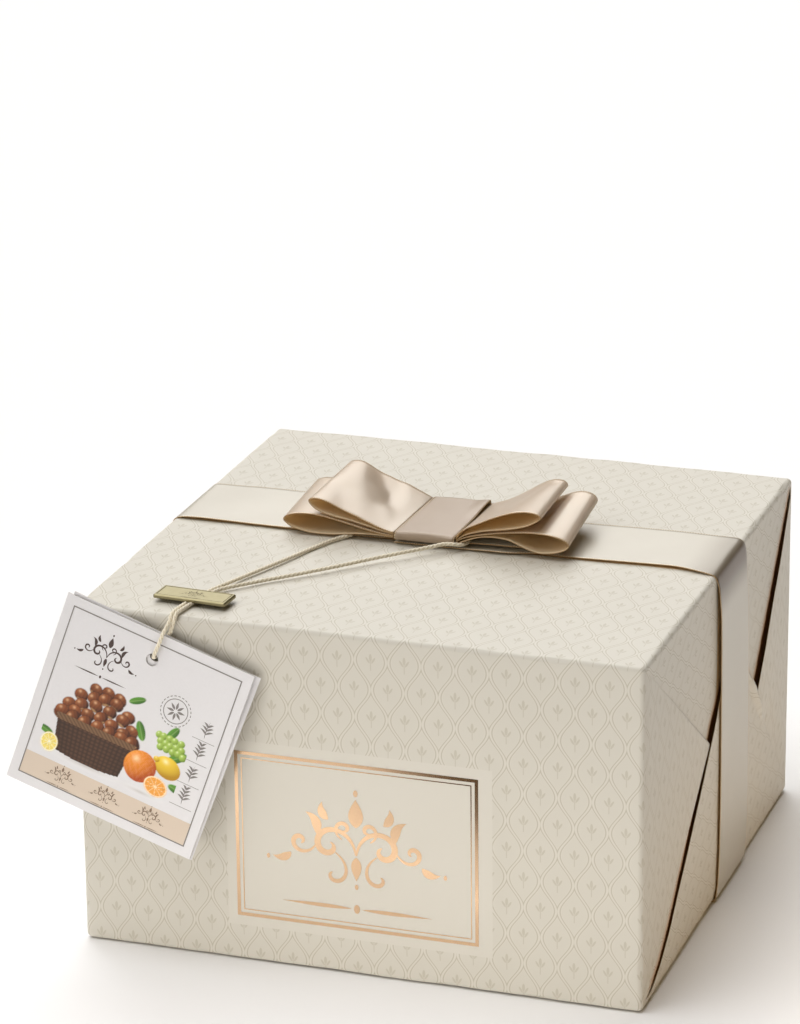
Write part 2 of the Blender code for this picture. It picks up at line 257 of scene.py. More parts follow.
# Cotton yarn: soft and matte, with painted shade that darkens it down between the plies, and a fine even fuzz
# of fibres.
cotton, tree, shader = new_finish("twisted_cotton_yarn", 0.85, {"Sheen Weight": 0.25})
flat = add(tree, "SeparateXYZ", {"Vector": add(tree, "UVMap", uv_map="flat")})
valley = add(tree, "Math", {0: flat}, operation="ABSOLUTE")
place = add(tree, "TexCoord").outputs["Object"]
fibres = add(tree, "TexNoise", {"Scale": 2600.0, "Detail": 3.0, "Vector": place})
depth = add(tree, "MapRange", {"Value": valley, "From Min": 0.35, "From Max": 1.05})
shade = add(tree, "Mix", {"Factor": depth, "A": "#EFE6D2", "B": "#8F774F"}, data_type="RGBA")
worn = add(tree, "Mix", {"Factor": fibres, "A": shade, "B": "#F4ECD9"}, data_type="RGBA",
           blend_type="SOFT_LIGHT")
bump = add(tree, "Bump", {"Strength": 0.35, "Distance": 0.0001, "Height": fibres})
feed(shader, {"Base Color": worn, "Normal": bump})

route = on_top(LEFT_LEG) + on_top(FRONT_DROP) + on_tag(*np.array(TAG_LOOP).T).tolist()
route += on_top(REAR_RISE) + on_top(RIGHT_LEG)
cord_path = evenly(smooth_through(route, 0.0004), 760)
cord = twisted_cord(cord_path)
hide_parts("tag_cord")

# The gift paper
# Smooth ivory paper printed tone on tone with a fine onion-shaped trellis, wrapped once round the box
# from front to back and folded in at both ends. The folds lie over each other and stand a little open.
# Lengths along the paper are its own, so the print runs on round every edge.
WIDE, DEEP = 0.250, 0.250
ROUND = 0.0025
FLAT_X, FLAT_Y = WIDE / 2 - ROUND, DEEP / 2 - ROUND
Z_LOW, Z_HIGH = ROUND, BOX_TALL - ROUND
QUARTER = ROUND * math.pi / 2
PAPER_THICK = 0.00014
GRID_STEP, FOLD_STEP = 0.0025, 0.0011
TRELLIS_WIDE, TRELLIS_TALL = 0.0147, 0.0256
# the plain field for the foil frame, on the front: its middle and half its size, in x and z, and how far
# in front of the box's middle it begins; FADE is one over the 0.25 mm in which the print fades in
PLAIN_X, PLAIN_Z, PLAIN_WIDE, PLAIN_TALL, PLAIN_DEEP = 0.001, 0.0591, 0.059, 0.0425, 0.123
FADE = 4000
# the trellis as steps of arithmetic, each (result, operation, inputs): first the two mirrored waves and
# the nearer one's double line, with lengths in millimetres and each line a clamped ramp of a distance
TRELLIS_STEPS = [
    ("a", "DIVIDE", "u", TRELLIS_WIDE), ("b", "DIVIDE", "v", TRELLIS_TALL),
    ("turn", "MULTIPLY", "b", 2 * math.pi), ("wave", "SINE", "turn"), ("sway", "MULTIPLY", "wave", 0.215),
    ("one", "ADD", "a", "sway"), ("one", "ADD", "one", 0.25), ("one", "PINGPONG", "one", 0.5),
    ("two", "SUBTRACT", "a", "sway"), ("two", "SUBTRACT", "two", 0.25), ("two", "PINGPONG", "two", 0.5),
    ("near", "MINIMUM", "one", "two"), ("near", "MULTIPLY", "near", 1000 * TRELLIS_WIDE),
    ("rail", "SUBTRACT", "near", 0.72), ("rail", "ABSOLUTE", "rail"),
    ("line", "MULTIPLY_ADD", "rail", -4.0, 1.45), ("inside", "MULTIPLY_ADD", "near", 2.0, -2.2),
    # the place right of and above the middle of the nearest cell
    ("t", "MULTIPLY_ADD", "b", 2.0, -0.5), ("row", "ROUND", "t"), ("t", "SUBTRACT", "t", "row"),
    ("up", "MULTIPLY", "t", 500 * TRELLIS_TALL), ("half", "MULTIPLY_ADD", "row", 0.5, "a"),
    ("col", "ROUND", "half"), ("half", "SUBTRACT", "half", "col"), ("half", "ABSOLUTE", "half"),
    ("right", "MULTIPLY", "half", 1000 * TRELLIS_WIDE),
    # its bud and its petals, each an ellipse, and its stem, printed paler than the lines
    ("p", "DIVIDE", "right", 0.62), ("p", "MULTIPLY", "p", "p"), ("q", "SUBTRACT", "up", 1.5),
    ("q", "DIVIDE", "q", 1.75), ("q", "MULTIPLY", "q", "q"), ("bud", "ADD", "p", "q"),
    ("bud", "MULTIPLY_ADD", "bud", -2.0, 2.5),
    ("s", "MULTIPLY_ADD", "up", -0.55, "right"), ("s", "SUBTRACT", "s", 1.05), ("s", "DIVIDE", "s", 0.50),
    ("s", "MULTIPLY", "s", "s"), ("w", "SUBTRACT", "up", 0.35), ("w", "DIVIDE", "w", 1.35),
    ("w", "MULTIPLY", "w", "w"), ("petal", "ADD", "s", "w"), ("petal", "MULTIPLY_ADD", "petal", -2.0, 2.5),
    ("stem", "MULTIPLY_ADD", "right", -5.0, 1.4), ("low", "ADD", "up", 2.2), ("low", "ABSOLUTE", "low"),
    ("low", "MULTIPLY_ADD", "low", -5.0, 10.5), ("stem", "MINIMUM", "stem", "low"),
    ("ink", "MAXIMUM", "bud", "stem"), ("ink", "MAXIMUM", "ink", "petal"), ("ink", "MULTIPLY", "ink", 0.70),
    ("ink", "MAXIMUM", "ink", "line"),
    # the plain field taken out of both
    ("fx", "SUBTRACT", "x", PLAIN_X), ("fx", "ABSOLUTE", "fx"),
    ("fx", "MULTIPLY_ADD", "fx", FADE, -FADE * PLAIN_WIDE),
    ("fz", "SUBTRACT", "z", PLAIN_Z), ("fz", "ABSOLUTE", "fz"),
    ("fz", "MULTIPLY_ADD", "fz", FADE, -FADE * PLAIN_TALL),
    ("fy", "MULTIPLY_ADD", "y", FADE, FADE * PLAIN_DEEP),
    ("off", "MAXIMUM", "fx", "fz"), ("off", "MAXIMUM", "off", "fy"), ("ink", "MINIMUM", "ink", "off"),
    ("inside", "MINIMUM", "inside", "off")]
# painted warm shade on the paper where the ribbon covers it: from 9 mm in front of the box's middle, or 8.5
# mm further down, to 35 mm behind it, with edges 1 mm soft
RIBBON_SHADE_STEPS = [
    ("down", "MULTIPLY_ADD", "z", -80.0, 80.0 * BOX_TALL), ("lead", "MULTIPLY_ADD", "down", -0.0005, 0.0090),
    ("front", "ADD", "y", "lead"), ("front", "MULTIPLY", "front", 1000.0),
    ("rear", "MULTIPLY_ADD", "y", -1000.0, 35.0), ("under", "MINIMUM", "front", "rear")]
CLAMPED = ("line", "inside", "ink", "off", "down", "under")
# where each end fold runs, as (y, z) of the corners of its free edge
FRONT_FOLD = [(-0.1225, 0.1521), (-0.021, 0.0806), (-0.1225, 0.0025)]
BACK_FOLD = [(0.1225, 0.1521), (0.056, 0.0754), (0.0625, 0.0680), (0.1225, 0.0025)]
BOTTOM_FOLD = [(-0.1225, 0.0025), (-0.112, 0.0050), (-0.099, 0.0110), (-0.084, 0.0218), (-0.057, 0.0465),
               (-0.021, 0.0806), (0.004, 0.1056), (0.0104, 0.112), (0.0245, 0.112), (0.056, 0.0754),
               (0.083, 0.0456), (0.107, 0.0194), (0.1225, 0.0025)]


def clouded(tree, scale, detail, one, other):
    """A colour that drifts between two tones in soft clouds, with this many clouds to the metre."""
    place = add(tree, "TexCoord").outputs["Object"]
    cloud = add(tree, "TexNoise", {"Scale": scale, "Detail": detail, "Vector": place})
    return add(tree, "Mix", {"Factor": cloud, "A": one, "B": other}, data_type="RGBA")


# Smooth uncoated gift paper with a soft pearl sheen and a faint tooth. The trellis is worked out step by
# step from the flat map: two mirrored waves make onion-shaped cells, each wave is a double line, and each
# cell holds a three-petalled bud on a stem.
gift_paper, tree, shader = new_finish("printed_gift_paper", 0.50, {"Specular IOR Level": 0.35})
place = add(tree, "TexCoord").outputs["Object"]
tooth = add(tree, "TexNoise", {"Scale": 1500.0, "Detail": 2.0, "Vector": place})
flat = add(tree, "SeparateXYZ", {"Vector": add(tree, "UVMap", uv_map="flat")})
here = add(tree, "SeparateXYZ", {"Vector": place})
value = dict(zip("uvxyz", (*flat.outputs[:2], *here.outputs)))
for made, operation, *inputs in TRELLIS_STEPS + RIBBON_SHADE_STEPS:
    given = {k: value.get(one, one) for k, one in enumerate(inputs)}
    value[made] = add(tree, "Math", given, operation=operation, use_clamp=made in CLAMPED)
colour = clouded(tree, 9.0, 2.0, "#D6D2C7", "#D9D5CB")
# inside and ink are the print; under is painted warm shade on the paper beneath the ribbon
for share, code in (("inside", "#D4D0C5"), ("ink", "#BFB9A9"), ("under", "#EBCB9C")):
    colour = add(tree, "Mix", {"Factor": value[share], "A": colour, "B": code}, data_type="RGBA")
bump = add(tree, "Bump", {"Strength": 0.08, "Distance": 0.0001, "Height": tooth})
feed(shader, {"Base Color": colour, "Normal": bump})

# The same paper where the other folds lie over it, with painted shade: tan at their edges, deep brown in the
# pockets.
painted_pocket_shade_paper = gift_paper.copy()
painted_pocket_shade_paper.name = "gift_paper_painted_pocket_shade"
tree = painted_pocket_shade_paper.node_tree
shader = tree.nodes["Principled BSDF"]
pocket = add(tree, "Attribute", attribute_name="pocket").outputs["Fac"]
colour = shader.inputs["Base Color"].links[0].from_socket
# painted pocket shade: warm tan, then deep brown, as the pocket attribute rises
for low, high, code in ((0.05, 0.5, "#C39461"), (0.5, 0.9, "#9C6839")):
    ramp = add(tree, "MapRange", {"Value": pocket, "From Min": low, "From Max": high})
    colour = add(tree, "Mix", {"Factor": ramp, "A": colour, "B": code}, data_type="RGBA")
feed(shader, {"Base Color": colour})

# Cut edges of the paper, a little warmer than its face.
paper_rim, tree, shader = new_finish("cut_paper_edge", 0.8, {"Base Color": "#D9C7A6"})


def ripple(a, b, size, seed):
    """Soft unevenness between -1 and 1: a sum of a few slanted sine waves of about the given size."""
    rng = np.random.default_rng(seed)
    total = np.zeros(np.broadcast(a, b).shape)
    for _ in range(7):
        turn, phase = rng.uniform(0, math.pi), rng.uniform(0, 2 * math.pi)
        wave = size * rng.uniform(0.6, 1.6)
        total += np.sin((a * math.cos(turn) + b * math.sin(turn)) * 2 * math.pi / wave + phase)
    return total / 4.0


def steps_along(low, high, step):
    """Even places from low to high, about one step apart."""
    return np.linspace(low, high, max(2, round((high - low) / step) + 1))


def ease(value, low, high):
    """0 below low, 1 above high, and a smooth rise between."""
    t = np.clip((value - low) / (high - low), 0, 1)
    return t * t * (3 - 2 * t)


def wrap_profile():
    """Once round the box in the YZ plane from the middle of the underside: (centre y, centre z, angle, run).

    A point is its centre, a corner of the inner rectangle or a place along its side, plus the edge
    radius in the direction of the angle. run is the paper's length from the middle of the top.
    """
    flat_y, flat_z = steps_along(-FLAT_Y, FLAT_Y, GRID_STEP), steps_along(Z_LOW, Z_HIGH, GRID_STEP)
    bend = np.linspace(0, 1, 8)[1:-1]
    # each part's y, z and angle, in quarter turns
    parts = [(flat_y[flat_y <= 0][::-1], Z_LOW, -1), (-FLAT_Y, Z_LOW, -1 - bend), (-FLAT_Y, flat_z, -2),
             (-FLAT_Y, Z_HIGH, -2 - bend), (flat_y, Z_HIGH, -3), (FLAT_Y, Z_HIGH, -3 - bend),
             (FLAT_Y, flat_z[::-1], -4), (FLAT_Y, Z_LOW, -4 - bend), (flat_y[flat_y >= 0][::-1], Z_LOW, -5)]
    y, z, turn = np.concatenate([together(*part) for part in parts]).T
    turn = turn * math.pi / 2
    edge = np.stack([y + ROUND * np.cos(turn), z + ROUND * np.sin(turn)], axis=1)
    run = run_length(edge)
    top = np.argmin(np.abs(y) + np.abs(z - Z_HIGH) * 100)
    return y, z, turn, run - run[top]


def paper_lie(x, y, z, normal):
    """How far the paper stands off or dips along its normal.

    It waves softly, every 55 and every 21 mm, but lies flat within the foil frame's plain field, and it
    is 0.9 mm in where the groove for the ribbon runs below.
    """
    soft = 0.00022 * ripple(x + 0.4 * z, y - 0.7 * z, 0.055, 5) + 0.00010 * ripple(x, y + z, 0.021, 9)
    framed = (ease(x, -0.064, -0.058) * ease(-x, -0.066, -0.060) * ease(z, 0.010, 0.016)
              * ease(-z, -0.108, -0.102) * (normal[..., 1] < -0.5))
    away = (soft - 0.0003) * (1 - framed) * (1 - normal[..., 0] ** 2)
    under = ease(-normal[..., 2], 0.5, 0.9) * ease(y, -0.0165, -0.0135) * ease(-y, -0.0445, -0.0415)
    return away - 0.0009 * under


def make_wrap():
    """The paper round the box: the profile carried along X and drawn in round the end edges.

    Its lie is added along the normal, and the edges and corners are dented by up to 0.5 mm, more the
    nearer the normal is to halfway between two faces.
    """
    y, z, turn, run = wrap_profile()
    bend = np.linspace(0, math.pi / 2, 8)
    x_flat = steps_along(-FLAT_X, FLAT_X, GRID_STEP)
    x = np.concatenate([-FLAT_X - ROUND * np.sin(bend[:0:-1]), x_flat, FLAT_X + ROUND * np.sin(bend[1:])])
    swell = np.concatenate([np.cos(bend[:0:-1]), np.ones(len(x_flat)), np.cos(bend[1:])])
    u = np.concatenate([-FLAT_X - ROUND * bend[:0:-1], x_flat, FLAT_X + ROUND * bend[1:]])
    outward = together((np.sign(x) * np.sqrt(1 - swell ** 2))[:, None], swell[:, None] * np.cos(turn),
                       swell[:, None] * np.sin(turn))
    points = together(np.clip(x, -FLAT_X, FLAT_X)[:, None], y, z) + ROUND * outward
    lie = paper_lie(*np.moveaxis(points, -1, 0), outward)
    crush = -0.0005 * ease(ripple(points[..., 0], points[..., 1] - points[..., 2], 0.035, 3), 0.3, 1.2)
    edge = 4 * np.sort(np.abs(outward), axis=-1)[..., 1] ** 2
    points = points + outward * (lie + crush * np.clip(edge, 0, 1))[..., None]
    uv = together(u[:, None], run)
    wrap = grid_piece("gift_paper_wrap", points[:, ::-1], uv[:, ::-1], [gift_paper])
    merge(wrap)
    return wrap


def polyline_at(corners, share):
    """The place at each share of the way along a line of corners."""
    corners = np.array(corners)
    run = run_length(corners)
    return np.stack([np.interp(share * run[-1], run, corners[:, k]) for k in range(2)], axis=-1)


def over_back_edge(y, z):
    """How far a place lies above the back fold's lower edge."""
    (y0, z0), (y1, z1) = BACK_FOLD[2:]
    return z - (z1 + (y1 - y) / (y1 - y0) * (z0 - z1))


def back_lift(y, z):
    """Stand-off of the back fold: it springs up beside its fold line, but lies close at its lower edge."""
    loose = np.maximum(ease(over_back_edge(y, z), -0.001, 0.022), ease(z, 0.050, 0.069))
    return 0.0002 + 0.0023 * np.clip((FLAT_Y - y) / 0.0665, 0, 1) ** 0.5 * loose


def bottom_lift(y, z):
    """Stand-off of the bottom fold: it springs up beside its fold line and is held in by the ribbon.

    Over the back fold it rises a little more, which leaves that fold's lower edge as a soft ridge.
    """
    rise = 0.0014 * np.clip(z / 0.08, 0, 1) ** 0.3 * (1 - 0.70 * ease(z, 0.084, 0.108))
    rise = rise * (1 - 0.55 * ease(y, 0.01, 0.05))
    over = (back_lift(y, z) + 0.0003) * ease(y, 0.036, 0.052) * ease(over_back_edge(y, z), -0.005, -0.001)
    return np.maximum(rise, over)


def inside_fold(y, z, outline):
    """1 inside a fold's outline and 0 outside, fading over 5.5 mm outside it, by distance to its edges."""
    corners = np.array(outline)
    place = np.stack([y, z], axis=-1)
    nearest = np.full(y.shape, 1.0)
    inside = np.zeros(y.shape, bool)
    for a, b in zip(corners, np.roll(corners, -1, axis=0)):
        along = b - a
        share = np.clip(((place - a) @ along) / (along @ along), 0, 1)
        nearest = np.minimum(nearest, np.linalg.norm(place - a - share[..., None] * along, axis=-1))
        inside ^= ((a[1] > z) != (b[1] > z)) & (y < along[0] * (z - a[1]) / (along[1] + 1e-12) + a[0])
    return np.where(inside, 1.0, np.clip(1 - nearest / 0.0055, 0, 1) * 0.5)


def end_sheet(name, side, fold, free, lift, flat_map, seed):
    """A fold of paper on an end, ruled from its fold line to its free edge, standing off by lift(y, z).

    It rises from the box within 4.5 mm of its fold line and waves a little where it is loose.
    """
    share = np.linspace(0, 1, 140)
    root, edge = polyline_at(fold, share), polyline_at(free, share)
    across = np.linspace(0, 1, 60)[:, None, None] ** 1.25
    yz = root + (edge - root) * across
    risen = ease(np.linalg.norm(yz - root, axis=-1), 0.0, 0.0045)
    y, z = yz[..., 0], yz[..., 1]
    loose = ease(across[..., 0], 0.0, 0.35)
    x = WIDE / 2 - PAPER_THICK + risen * (0.00008 + PAPER_THICK + lift(y, z)
                                          + 0.00012 * loose * ripple(y, z, 0.045, seed))
    points = together(side * x, y, z)
    u, v = flat_map(y, z)
    uv = together(side * u, v)
    if side * np.cross(points[1, 70] - points[0, 70], points[0, 71] - points[0, 70])[0] < 0:
        points, uv = points[:, ::-1], uv[:, ::-1]
    sheet = grid_piece(name, points, uv, [gift_paper, paper_rim], thick=PAPER_THICK, shift=1.0)


def colour_points(mesh, name, colours):
    """A colour with alpha for each point of a mesh, in an attribute."""
    layer = mesh.color_attributes.new(name, "FLOAT_COLOR", "POINT")
    layer.data.foreach_set("color", colours.astype(np.float32).ravel())


def make_end(side, word):
    """One end: the top fold flat against the box, the front and back folds over it, the bottom fold last.

    The top fold is dented by 0.8 mm where the folds meet, and pressed in by 0.6 mm below the others. Its
    pocket attribute says how far a place lies under the back and bottom folds, away from the end's edges,
    and sets the painted shade of its pocket paper.
    """
    reach, half_run = FLAT_X + QUARTER, FLAT_Y + QUARTER
    y, z = np.broadcast_arrays(steps_along(-FLAT_Y, FLAT_Y, FOLD_STEP)[:, None],
                               steps_along(Z_LOW, Z_HIGH, FOLD_STEP))
    border = np.minimum(FLAT_Y - np.abs(y), np.minimum(z - Z_LOW, Z_HIGH - z))
    front, back, bottom = (inside_fold(y, z, one) for one in (FRONT_FOLD, BACK_FOLD, BOTTOM_FOLD))
    dent = 0.0008 * np.exp(-((y + 0.014) ** 2 + (z - 0.086) ** 2) / 0.014 ** 2)
    pressed = 0.0006 * (np.maximum(np.maximum(front, back), bottom) > 0.9) * ease(border, 0.0, 0.002)
    points, uv = together(side * (WIDE / 2 - dent - pressed), y, z), together(side * (reach + Z_HIGH - z), y)
    pocket = np.maximum(back, bottom) * ease(np.minimum(FLAT_Y - np.abs(y), z - Z_LOW), 0.001, 0.006)
    base = grid_piece(f"top_fold_{word}", points[::-side], uv[::-side], [painted_pocket_shade_paper])
    colour_points(base.data, "pocket", np.repeat(pocket[::-side].reshape(-1, 1), 4, axis=1))
    end_sheet(f"front_fold_{word}", side, [(-FLAT_Y, Z_HIGH), (-FLAT_Y, Z_LOW)], FRONT_FOLD,
              lambda y, z: 0.00025 + 0.0005 * ease(y, -0.12, -0.03),
              lambda y, z: (reach + y + FLAT_Y, -half_run - (Z_HIGH - z)), 11)
    end_sheet(f"back_fold_{word}", side, [(FLAT_Y, Z_HIGH), (FLAT_Y, Z_LOW)], BACK_FOLD, back_lift,
              lambda y, z: (reach + FLAT_Y - y, half_run + (Z_HIGH - z)), 12)
    end_sheet(f"bottom_fold_{word}", side, [(-FLAT_Y, Z_LOW), (FLAT_Y, Z_LOW)], BOTTOM_FOLD, bottom_lift,
              lambda y, z: (reach + z - Z_LOW, y + 0.0035), 13)
    return base


wrap = make_wrap()
ends = [make_end(side, word) for side, word in ((1, "right"), (-1, "left"))]
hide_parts("wrapped_box")

# The foil frame on the front
# A plain field with a hot-stamped copper foil frame, one broad line and one fine line inside it, round a
# symmetrical scroll ornament in the same foil.
FOIL_FRAME = (-0.0540, 0.0540, 0.0210, 0.0970)
FOIL_LINES = (("broad", 0.0, 0.0015), ("fine", 0.0029, 0.00045))
FOIL_Y = -DEEP / 2 - 0.00008
ORNAMENT_MID, ORNAMENT_UNIT = (0.0, 0.0580), 0.034
# scrolls as (centre, first and last radius, first angle, sweep, width), leaves as (root, tip, width,
# bend) and dots as (centre, radius): the right half, in units of about the ornament's half width
SCROLLS = [((0.36, 0.02), 0.37, 0.05, 195, -440, 0.056), ((0.735, 0.04), 0.205, 0.03, 188, 420, 0.042),
           ((0.16, 0.27), 0.15, 0.03, -80, 380, 0.036), ((0.30, -0.36), 0.30, 0.03, 95, 330, 0.036)]
LEAVES = [((0.52, 0.16), (0.66, 0.44), 0.085, 0.22), ((0.86, -0.13), (1.10, -0.20), 0.07, -0.2),
          ((0.0, 0.30), (0.0, 0.68), 0.13, 0.0), ((0.36, 0.37), (0.44, 0.60), 0.075, -0.2),
          ((0.0, -0.10), (0.0, -0.42), 0.09, 0.0), ((0.07, -0.80), (0.98, -0.80), 0.034, 0.0)]
DOTS = [((0.0, 0.76), 0.030), ((0.0, -0.50), 0.024), ((1.16, -0.22), 0.022), ((0.0, -0.80), 0.040)]

# Hot-stamped foil: a thin mirror-like film, rose copper, pressed a little unevenly into the paper, so it
# goes from light peach to deep bronze as it turns away from the floor's light.
foil, tree, shader = new_finish("copper_hot_foil", 0.24, {"Metallic": 1.0, "Base Color": "#DDBB98"})
here = add(tree, "SeparateXYZ", {"Vector": add(tree, "TexCoord").outputs["Object"]})
lean = add(tree, "Math", {0: here.outputs["X"], 1: 0.75, 2: here.outputs["Z"]}, operation="MULTIPLY_ADD")
rise = add(tree, "MapRange", {"Value": lean, "From Min": 0.060, "From Max": 0.150})
steep = add(tree, "Math", {0: rise, 1: 2.0}, operation="POWER")
feed(shader, {"Normal": add(tree, "Bump", {"Strength": 1.0, "Distance": -0.016, "Height": steep})})


def scroll(centre, first, last, turn, sweep, wide):
    """A spiral that tightens from its first to its last radius, thickest in the middle."""
    t = np.linspace(0, 1, 60)
    radius, angle = first * (last / first) ** (t ** 0.9), np.radians(turn + sweep * t)
    path = together(centre[0] + radius * np.cos(angle), centre[1] + radius * np.sin(angle))
    return path, wide * (0.25 + 0.75 * np.sin(np.pi * np.clip(t * 1.05, 0, 1)) ** 0.7)


def leaf(root, tip, wide, bend):
    """A bent spindle from its root to its tip."""
    t = np.linspace(0, 1, 24)
    root, along = np.array(root), np.array(tip) - root
    path = root + along * t[:, None] + np.array([-along[1], along[0]]) * (bend * 4 * t * (1 - t))[:, None]
    return path, np.maximum(wide * np.sin(np.pi * t ** 0.75), 0.002)


def dot(centre, radius):
    """A round dot, as a short path as wide as the circle is at each place."""
    t = np.linspace(-1, 1, 17)
    return together(centre[0] + radius * t, centre[1]), 2 * radius * np.sqrt(1.0002 - t * t)


def ornament(bold=1.0):
    """The strokes of the scroll ornament, its right half mirrored to the left, as bold as given."""
    half = [scroll(*one) for one in SCROLLS] + [leaf(*one) for one in LEAVES] + [dot(*one) for one in DOTS]
    half = [(path, widths * bold) for path, widths in half]
    return half + [(path * (-1, 1), widths) for path, widths in half if path[:, 0].max() > 0.1]


def printed(name, strokes, place, finish, middle=(0, 0), unit=1.0, lift=0.0):
    """Flat strokes on a face: each path is widened by half its width to both sides and put in place.

    place(right, up) gives the 3-D points. Every second stroke lies a hair higher, so none share a plane.
    """
    points, faces, count = [], [], 0
    for number, (path, widths) in enumerate(strokes):
        along = np.gradient(path, axis=0)
        along /= np.maximum(np.linalg.norm(along, axis=1, keepdims=True), 1e-9)
        side = np.stack([-along[:, 1], along[:, 0]], axis=1) * widths[:, None] / 2
        flat = np.stack([path + side, path - side], axis=1).reshape(-1, 2) * unit + middle
        points.append(place(flat[:, 0], flat[:, 1], lift + 0.000004 * (number % 9)))
        k = count + 2 * np.arange(len(path) - 1)
        quads = np.stack([k, k + 1, k + 3, k + 2], axis=1)
        a, b, c = points[-1][0], points[-1][1], points[-1][3]
        faces.append(quads if np.dot(np.cross(b - a, c - b), place(0.0, 0.0, 1.0) - place(0.0, 0.0, 0.0)) > 0
                     else quads[:, ::-1])
        count += 2 * len(path)
    return new_piece(name, np.concatenate(points), np.concatenate(faces).tolist(), finish)


def frame_strokes(x0, x1, z0, z1, wide):
    """Four bars with square ends, which meet at the corners of a rectangle."""
    half = wide / 2
    ends = [((x0, z0 + half), (x1, z0 + half)), ((x1 - half, z0 + wide), (x1 - half, z1 - wide)),
            ((x1, z1 - half), (x0, z1 - half)), ((x0 + half, z1 - wide), (x0 + half, z0 + wide))]
    return [(np.array(one), np.array([wide, wide])) for one in ends]


def on_front(x, z, lift=0.0):
    """Places on the box's front, a little in front of the paper."""
    return together(x, FOIL_Y - lift, z)


for word, inset, wide in FOIL_LINES:
    x0, x1, z0, z1 = FOIL_FRAME
    lines = frame_strokes(x0 + inset, x1 - inset, z0 + inset, z1 - inset, wide)
    printed(f"foil_frame_{word}", lines, on_front, foil)
printed("foil_ornament", ornament(1.5), on_front, foil, ORNAMENT_MID, ORNAMENT_UNIT)

# The satin ribbon round the box
# Champagne satin 48 mm wide with a fine tan selvedge, closed on itself under the bow: the right end
# lies beneath and the left end crosses over it. It stands off the folded ends like a taut strap.
RIBBON_WIDE = 0.048
RIBBON_THICK = 0.00035
# the y of its middle, beneath the bow and all the way down the left side
MID_RIGHT, MID_LEFT = 0.011, 0.014


def satin_finish(name, light, deep, rough, metal, glow=0.0, pressed=False):
    """Satin ribbon: long glossy warp floats that shine along the ribbon, a little see-through to light.

    Fine ribs run across it every 0.8 mm, coarser than the real weave so that they show, and both edges
    have a woven selvedge with a tan dot every 1.1 mm. With pressed, shade is painted where the band turns
    over the box's right end: its colour darkens towards that edge on the top and is darkest just below it,
    fading out 21 mm down the end.
    """
    finish, tree, shader = new_finish(
        name, rough, {"Metallic": metal, "Specular IOR Level": 0.85, "Anisotropic": 0.5})
    flat = add(tree, "SeparateXYZ", {"Vector": add(tree, "UVMap", uv_map="flat")})
    from_mid = add(tree, "Math", {0: flat.outputs["X"], 1: RIBBON_WIDE / 2}, operation="SUBTRACT")
    far = add(tree, "Math", {0: from_mid}, operation="ABSOLUTE")
    edge = add(tree, "MapRange", {"Value": far, "From Min": RIBBON_WIDE / 2 - 0.0007,
                                  "From Max": RIBBON_WIDE / 2 - 0.0004})
    beats = [add(tree, "Math", {0: flat.outputs["Y"], 1: 2 * math.pi / pitch}, operation="MULTIPLY")
             for pitch in (0.0011, 0.0008)]
    dots, ribs = (add(tree, "Math", {0: beat}, operation="SINE") for beat in beats)
    dotted = add(tree, "MapRange", {"Value": dots, "From Min": -0.4, "From Max": 0.4})
    ground = clouded(tree, 60.0, 3.0, light, deep)
    woven = add(tree, "Mix", {"Factor": dotted, "A": "#B49668", "B": "#EADCC2"}, data_type="RGBA")
    colour = add(tree, "Mix", {"Factor": edge, "A": ground, "B": woven}, data_type="RGBA")
    # painted shade at the band's fold over the right end: darker towards the edge on top, darkest just below
    # it
    if pressed:
        here = add(tree, "SeparateXYZ", {"Vector": add(tree, "TexCoord").outputs["Object"]})
        near = add(tree, "MapRange", {"Value": here.outputs["X"], "From Min": 0.107, "From Max": 0.1245},
                   interpolation_type="SMOOTHSTEP")
        below = add(tree, "MapRange", {"Value": here.outputs["Z"], "From Min": BOX_TALL - 0.021,
                                       "From Max": BOX_TALL - 0.0040}, interpolation_type="SMOOTHSTEP")
        lower = add(tree, "MapRange", {"Value": here.outputs["Z"], "From Min": BOX_TALL + 0.0004,
                                       "From Max": BOX_TALL - 0.0020, "To Min": 0.50})
        painted_fold_shade = add(tree, "Math", {0: near, 1: below}, operation="MULTIPLY")
        painted_fold_shade = add(tree, "Math", {0: painted_fold_shade, 1: lower}, operation="MULTIPLY")
        colour = add(tree, "Mix", {"Factor": painted_fold_shade, "A": colour, "B": "#64523D"}, data_type="RGBA")
    feed(shader, {"Base Color": colour,
                  "Normal": add(tree, "Bump", {"Strength": 0.08, "Distance": 0.00006, "Height": ribs}),
                  "Tangent": add(tree, "Tangent", direction_type="UV_MAP", uv_map="flat")})
    if glow:
        let_through(tree, shader, glow, "#F2D3A6")
    return finish


def let_through(tree, shader, share, code):
    """Thin cloth: this share of the light that meets it comes through, in this colour."""
    through = add(tree, "BsdfTranslucent", {"Color": code})
    both = add(tree, "MixShader", {"Fac": share, 1: shader, 2: through})
    feed(tree.nodes["Material Output"], {"Surface": both})


# the band is painted with shade at its fold over the right end
band_satin = satin_finish("champagne_satin_ribbon", "#C4BFB2", "#BFB9AC", 0.36, 0.18, pressed=True)
bow_satin = satin_finish("ivory_satin_ribbon", "#E8DFD0", "#E0D6C5", 0.30, 0.18, glow=0.30)
# the knot: the same satin painted darker and browner, as shade for the duller sheen of floats that run across
# it
shaded_knot_satin = satin_finish("ivory_satin_across_painted_shade", "#A5917C", "#9A8670", 0.36, 0.10)

# The ribbon's back: the same weave seen from its dull side, warm and matt.
satin_back, tree, shader = new_finish("dull_satin_back", 0.65)
feed(shader, {"Base Color": clouded(tree, 700.0, 2.0, "#F4E4C6", "#EEDCBB")})
let_through(tree, shader, 0.30, "#F8E6C8")

# Its cut and woven edge, a little darker.
selvedge, tree, shader = new_finish("tan_selvedge", 0.7, {"Base Color": "#B5956A"})


def arc(centre, radius, start, end, steps):
    """Points along part of a circle, between two angles in degrees."""
    angle = np.radians(np.linspace(start, end, steps))
    return together(centre[0] + radius * np.cos(angle), centre[1] + radius * np.sin(angle))


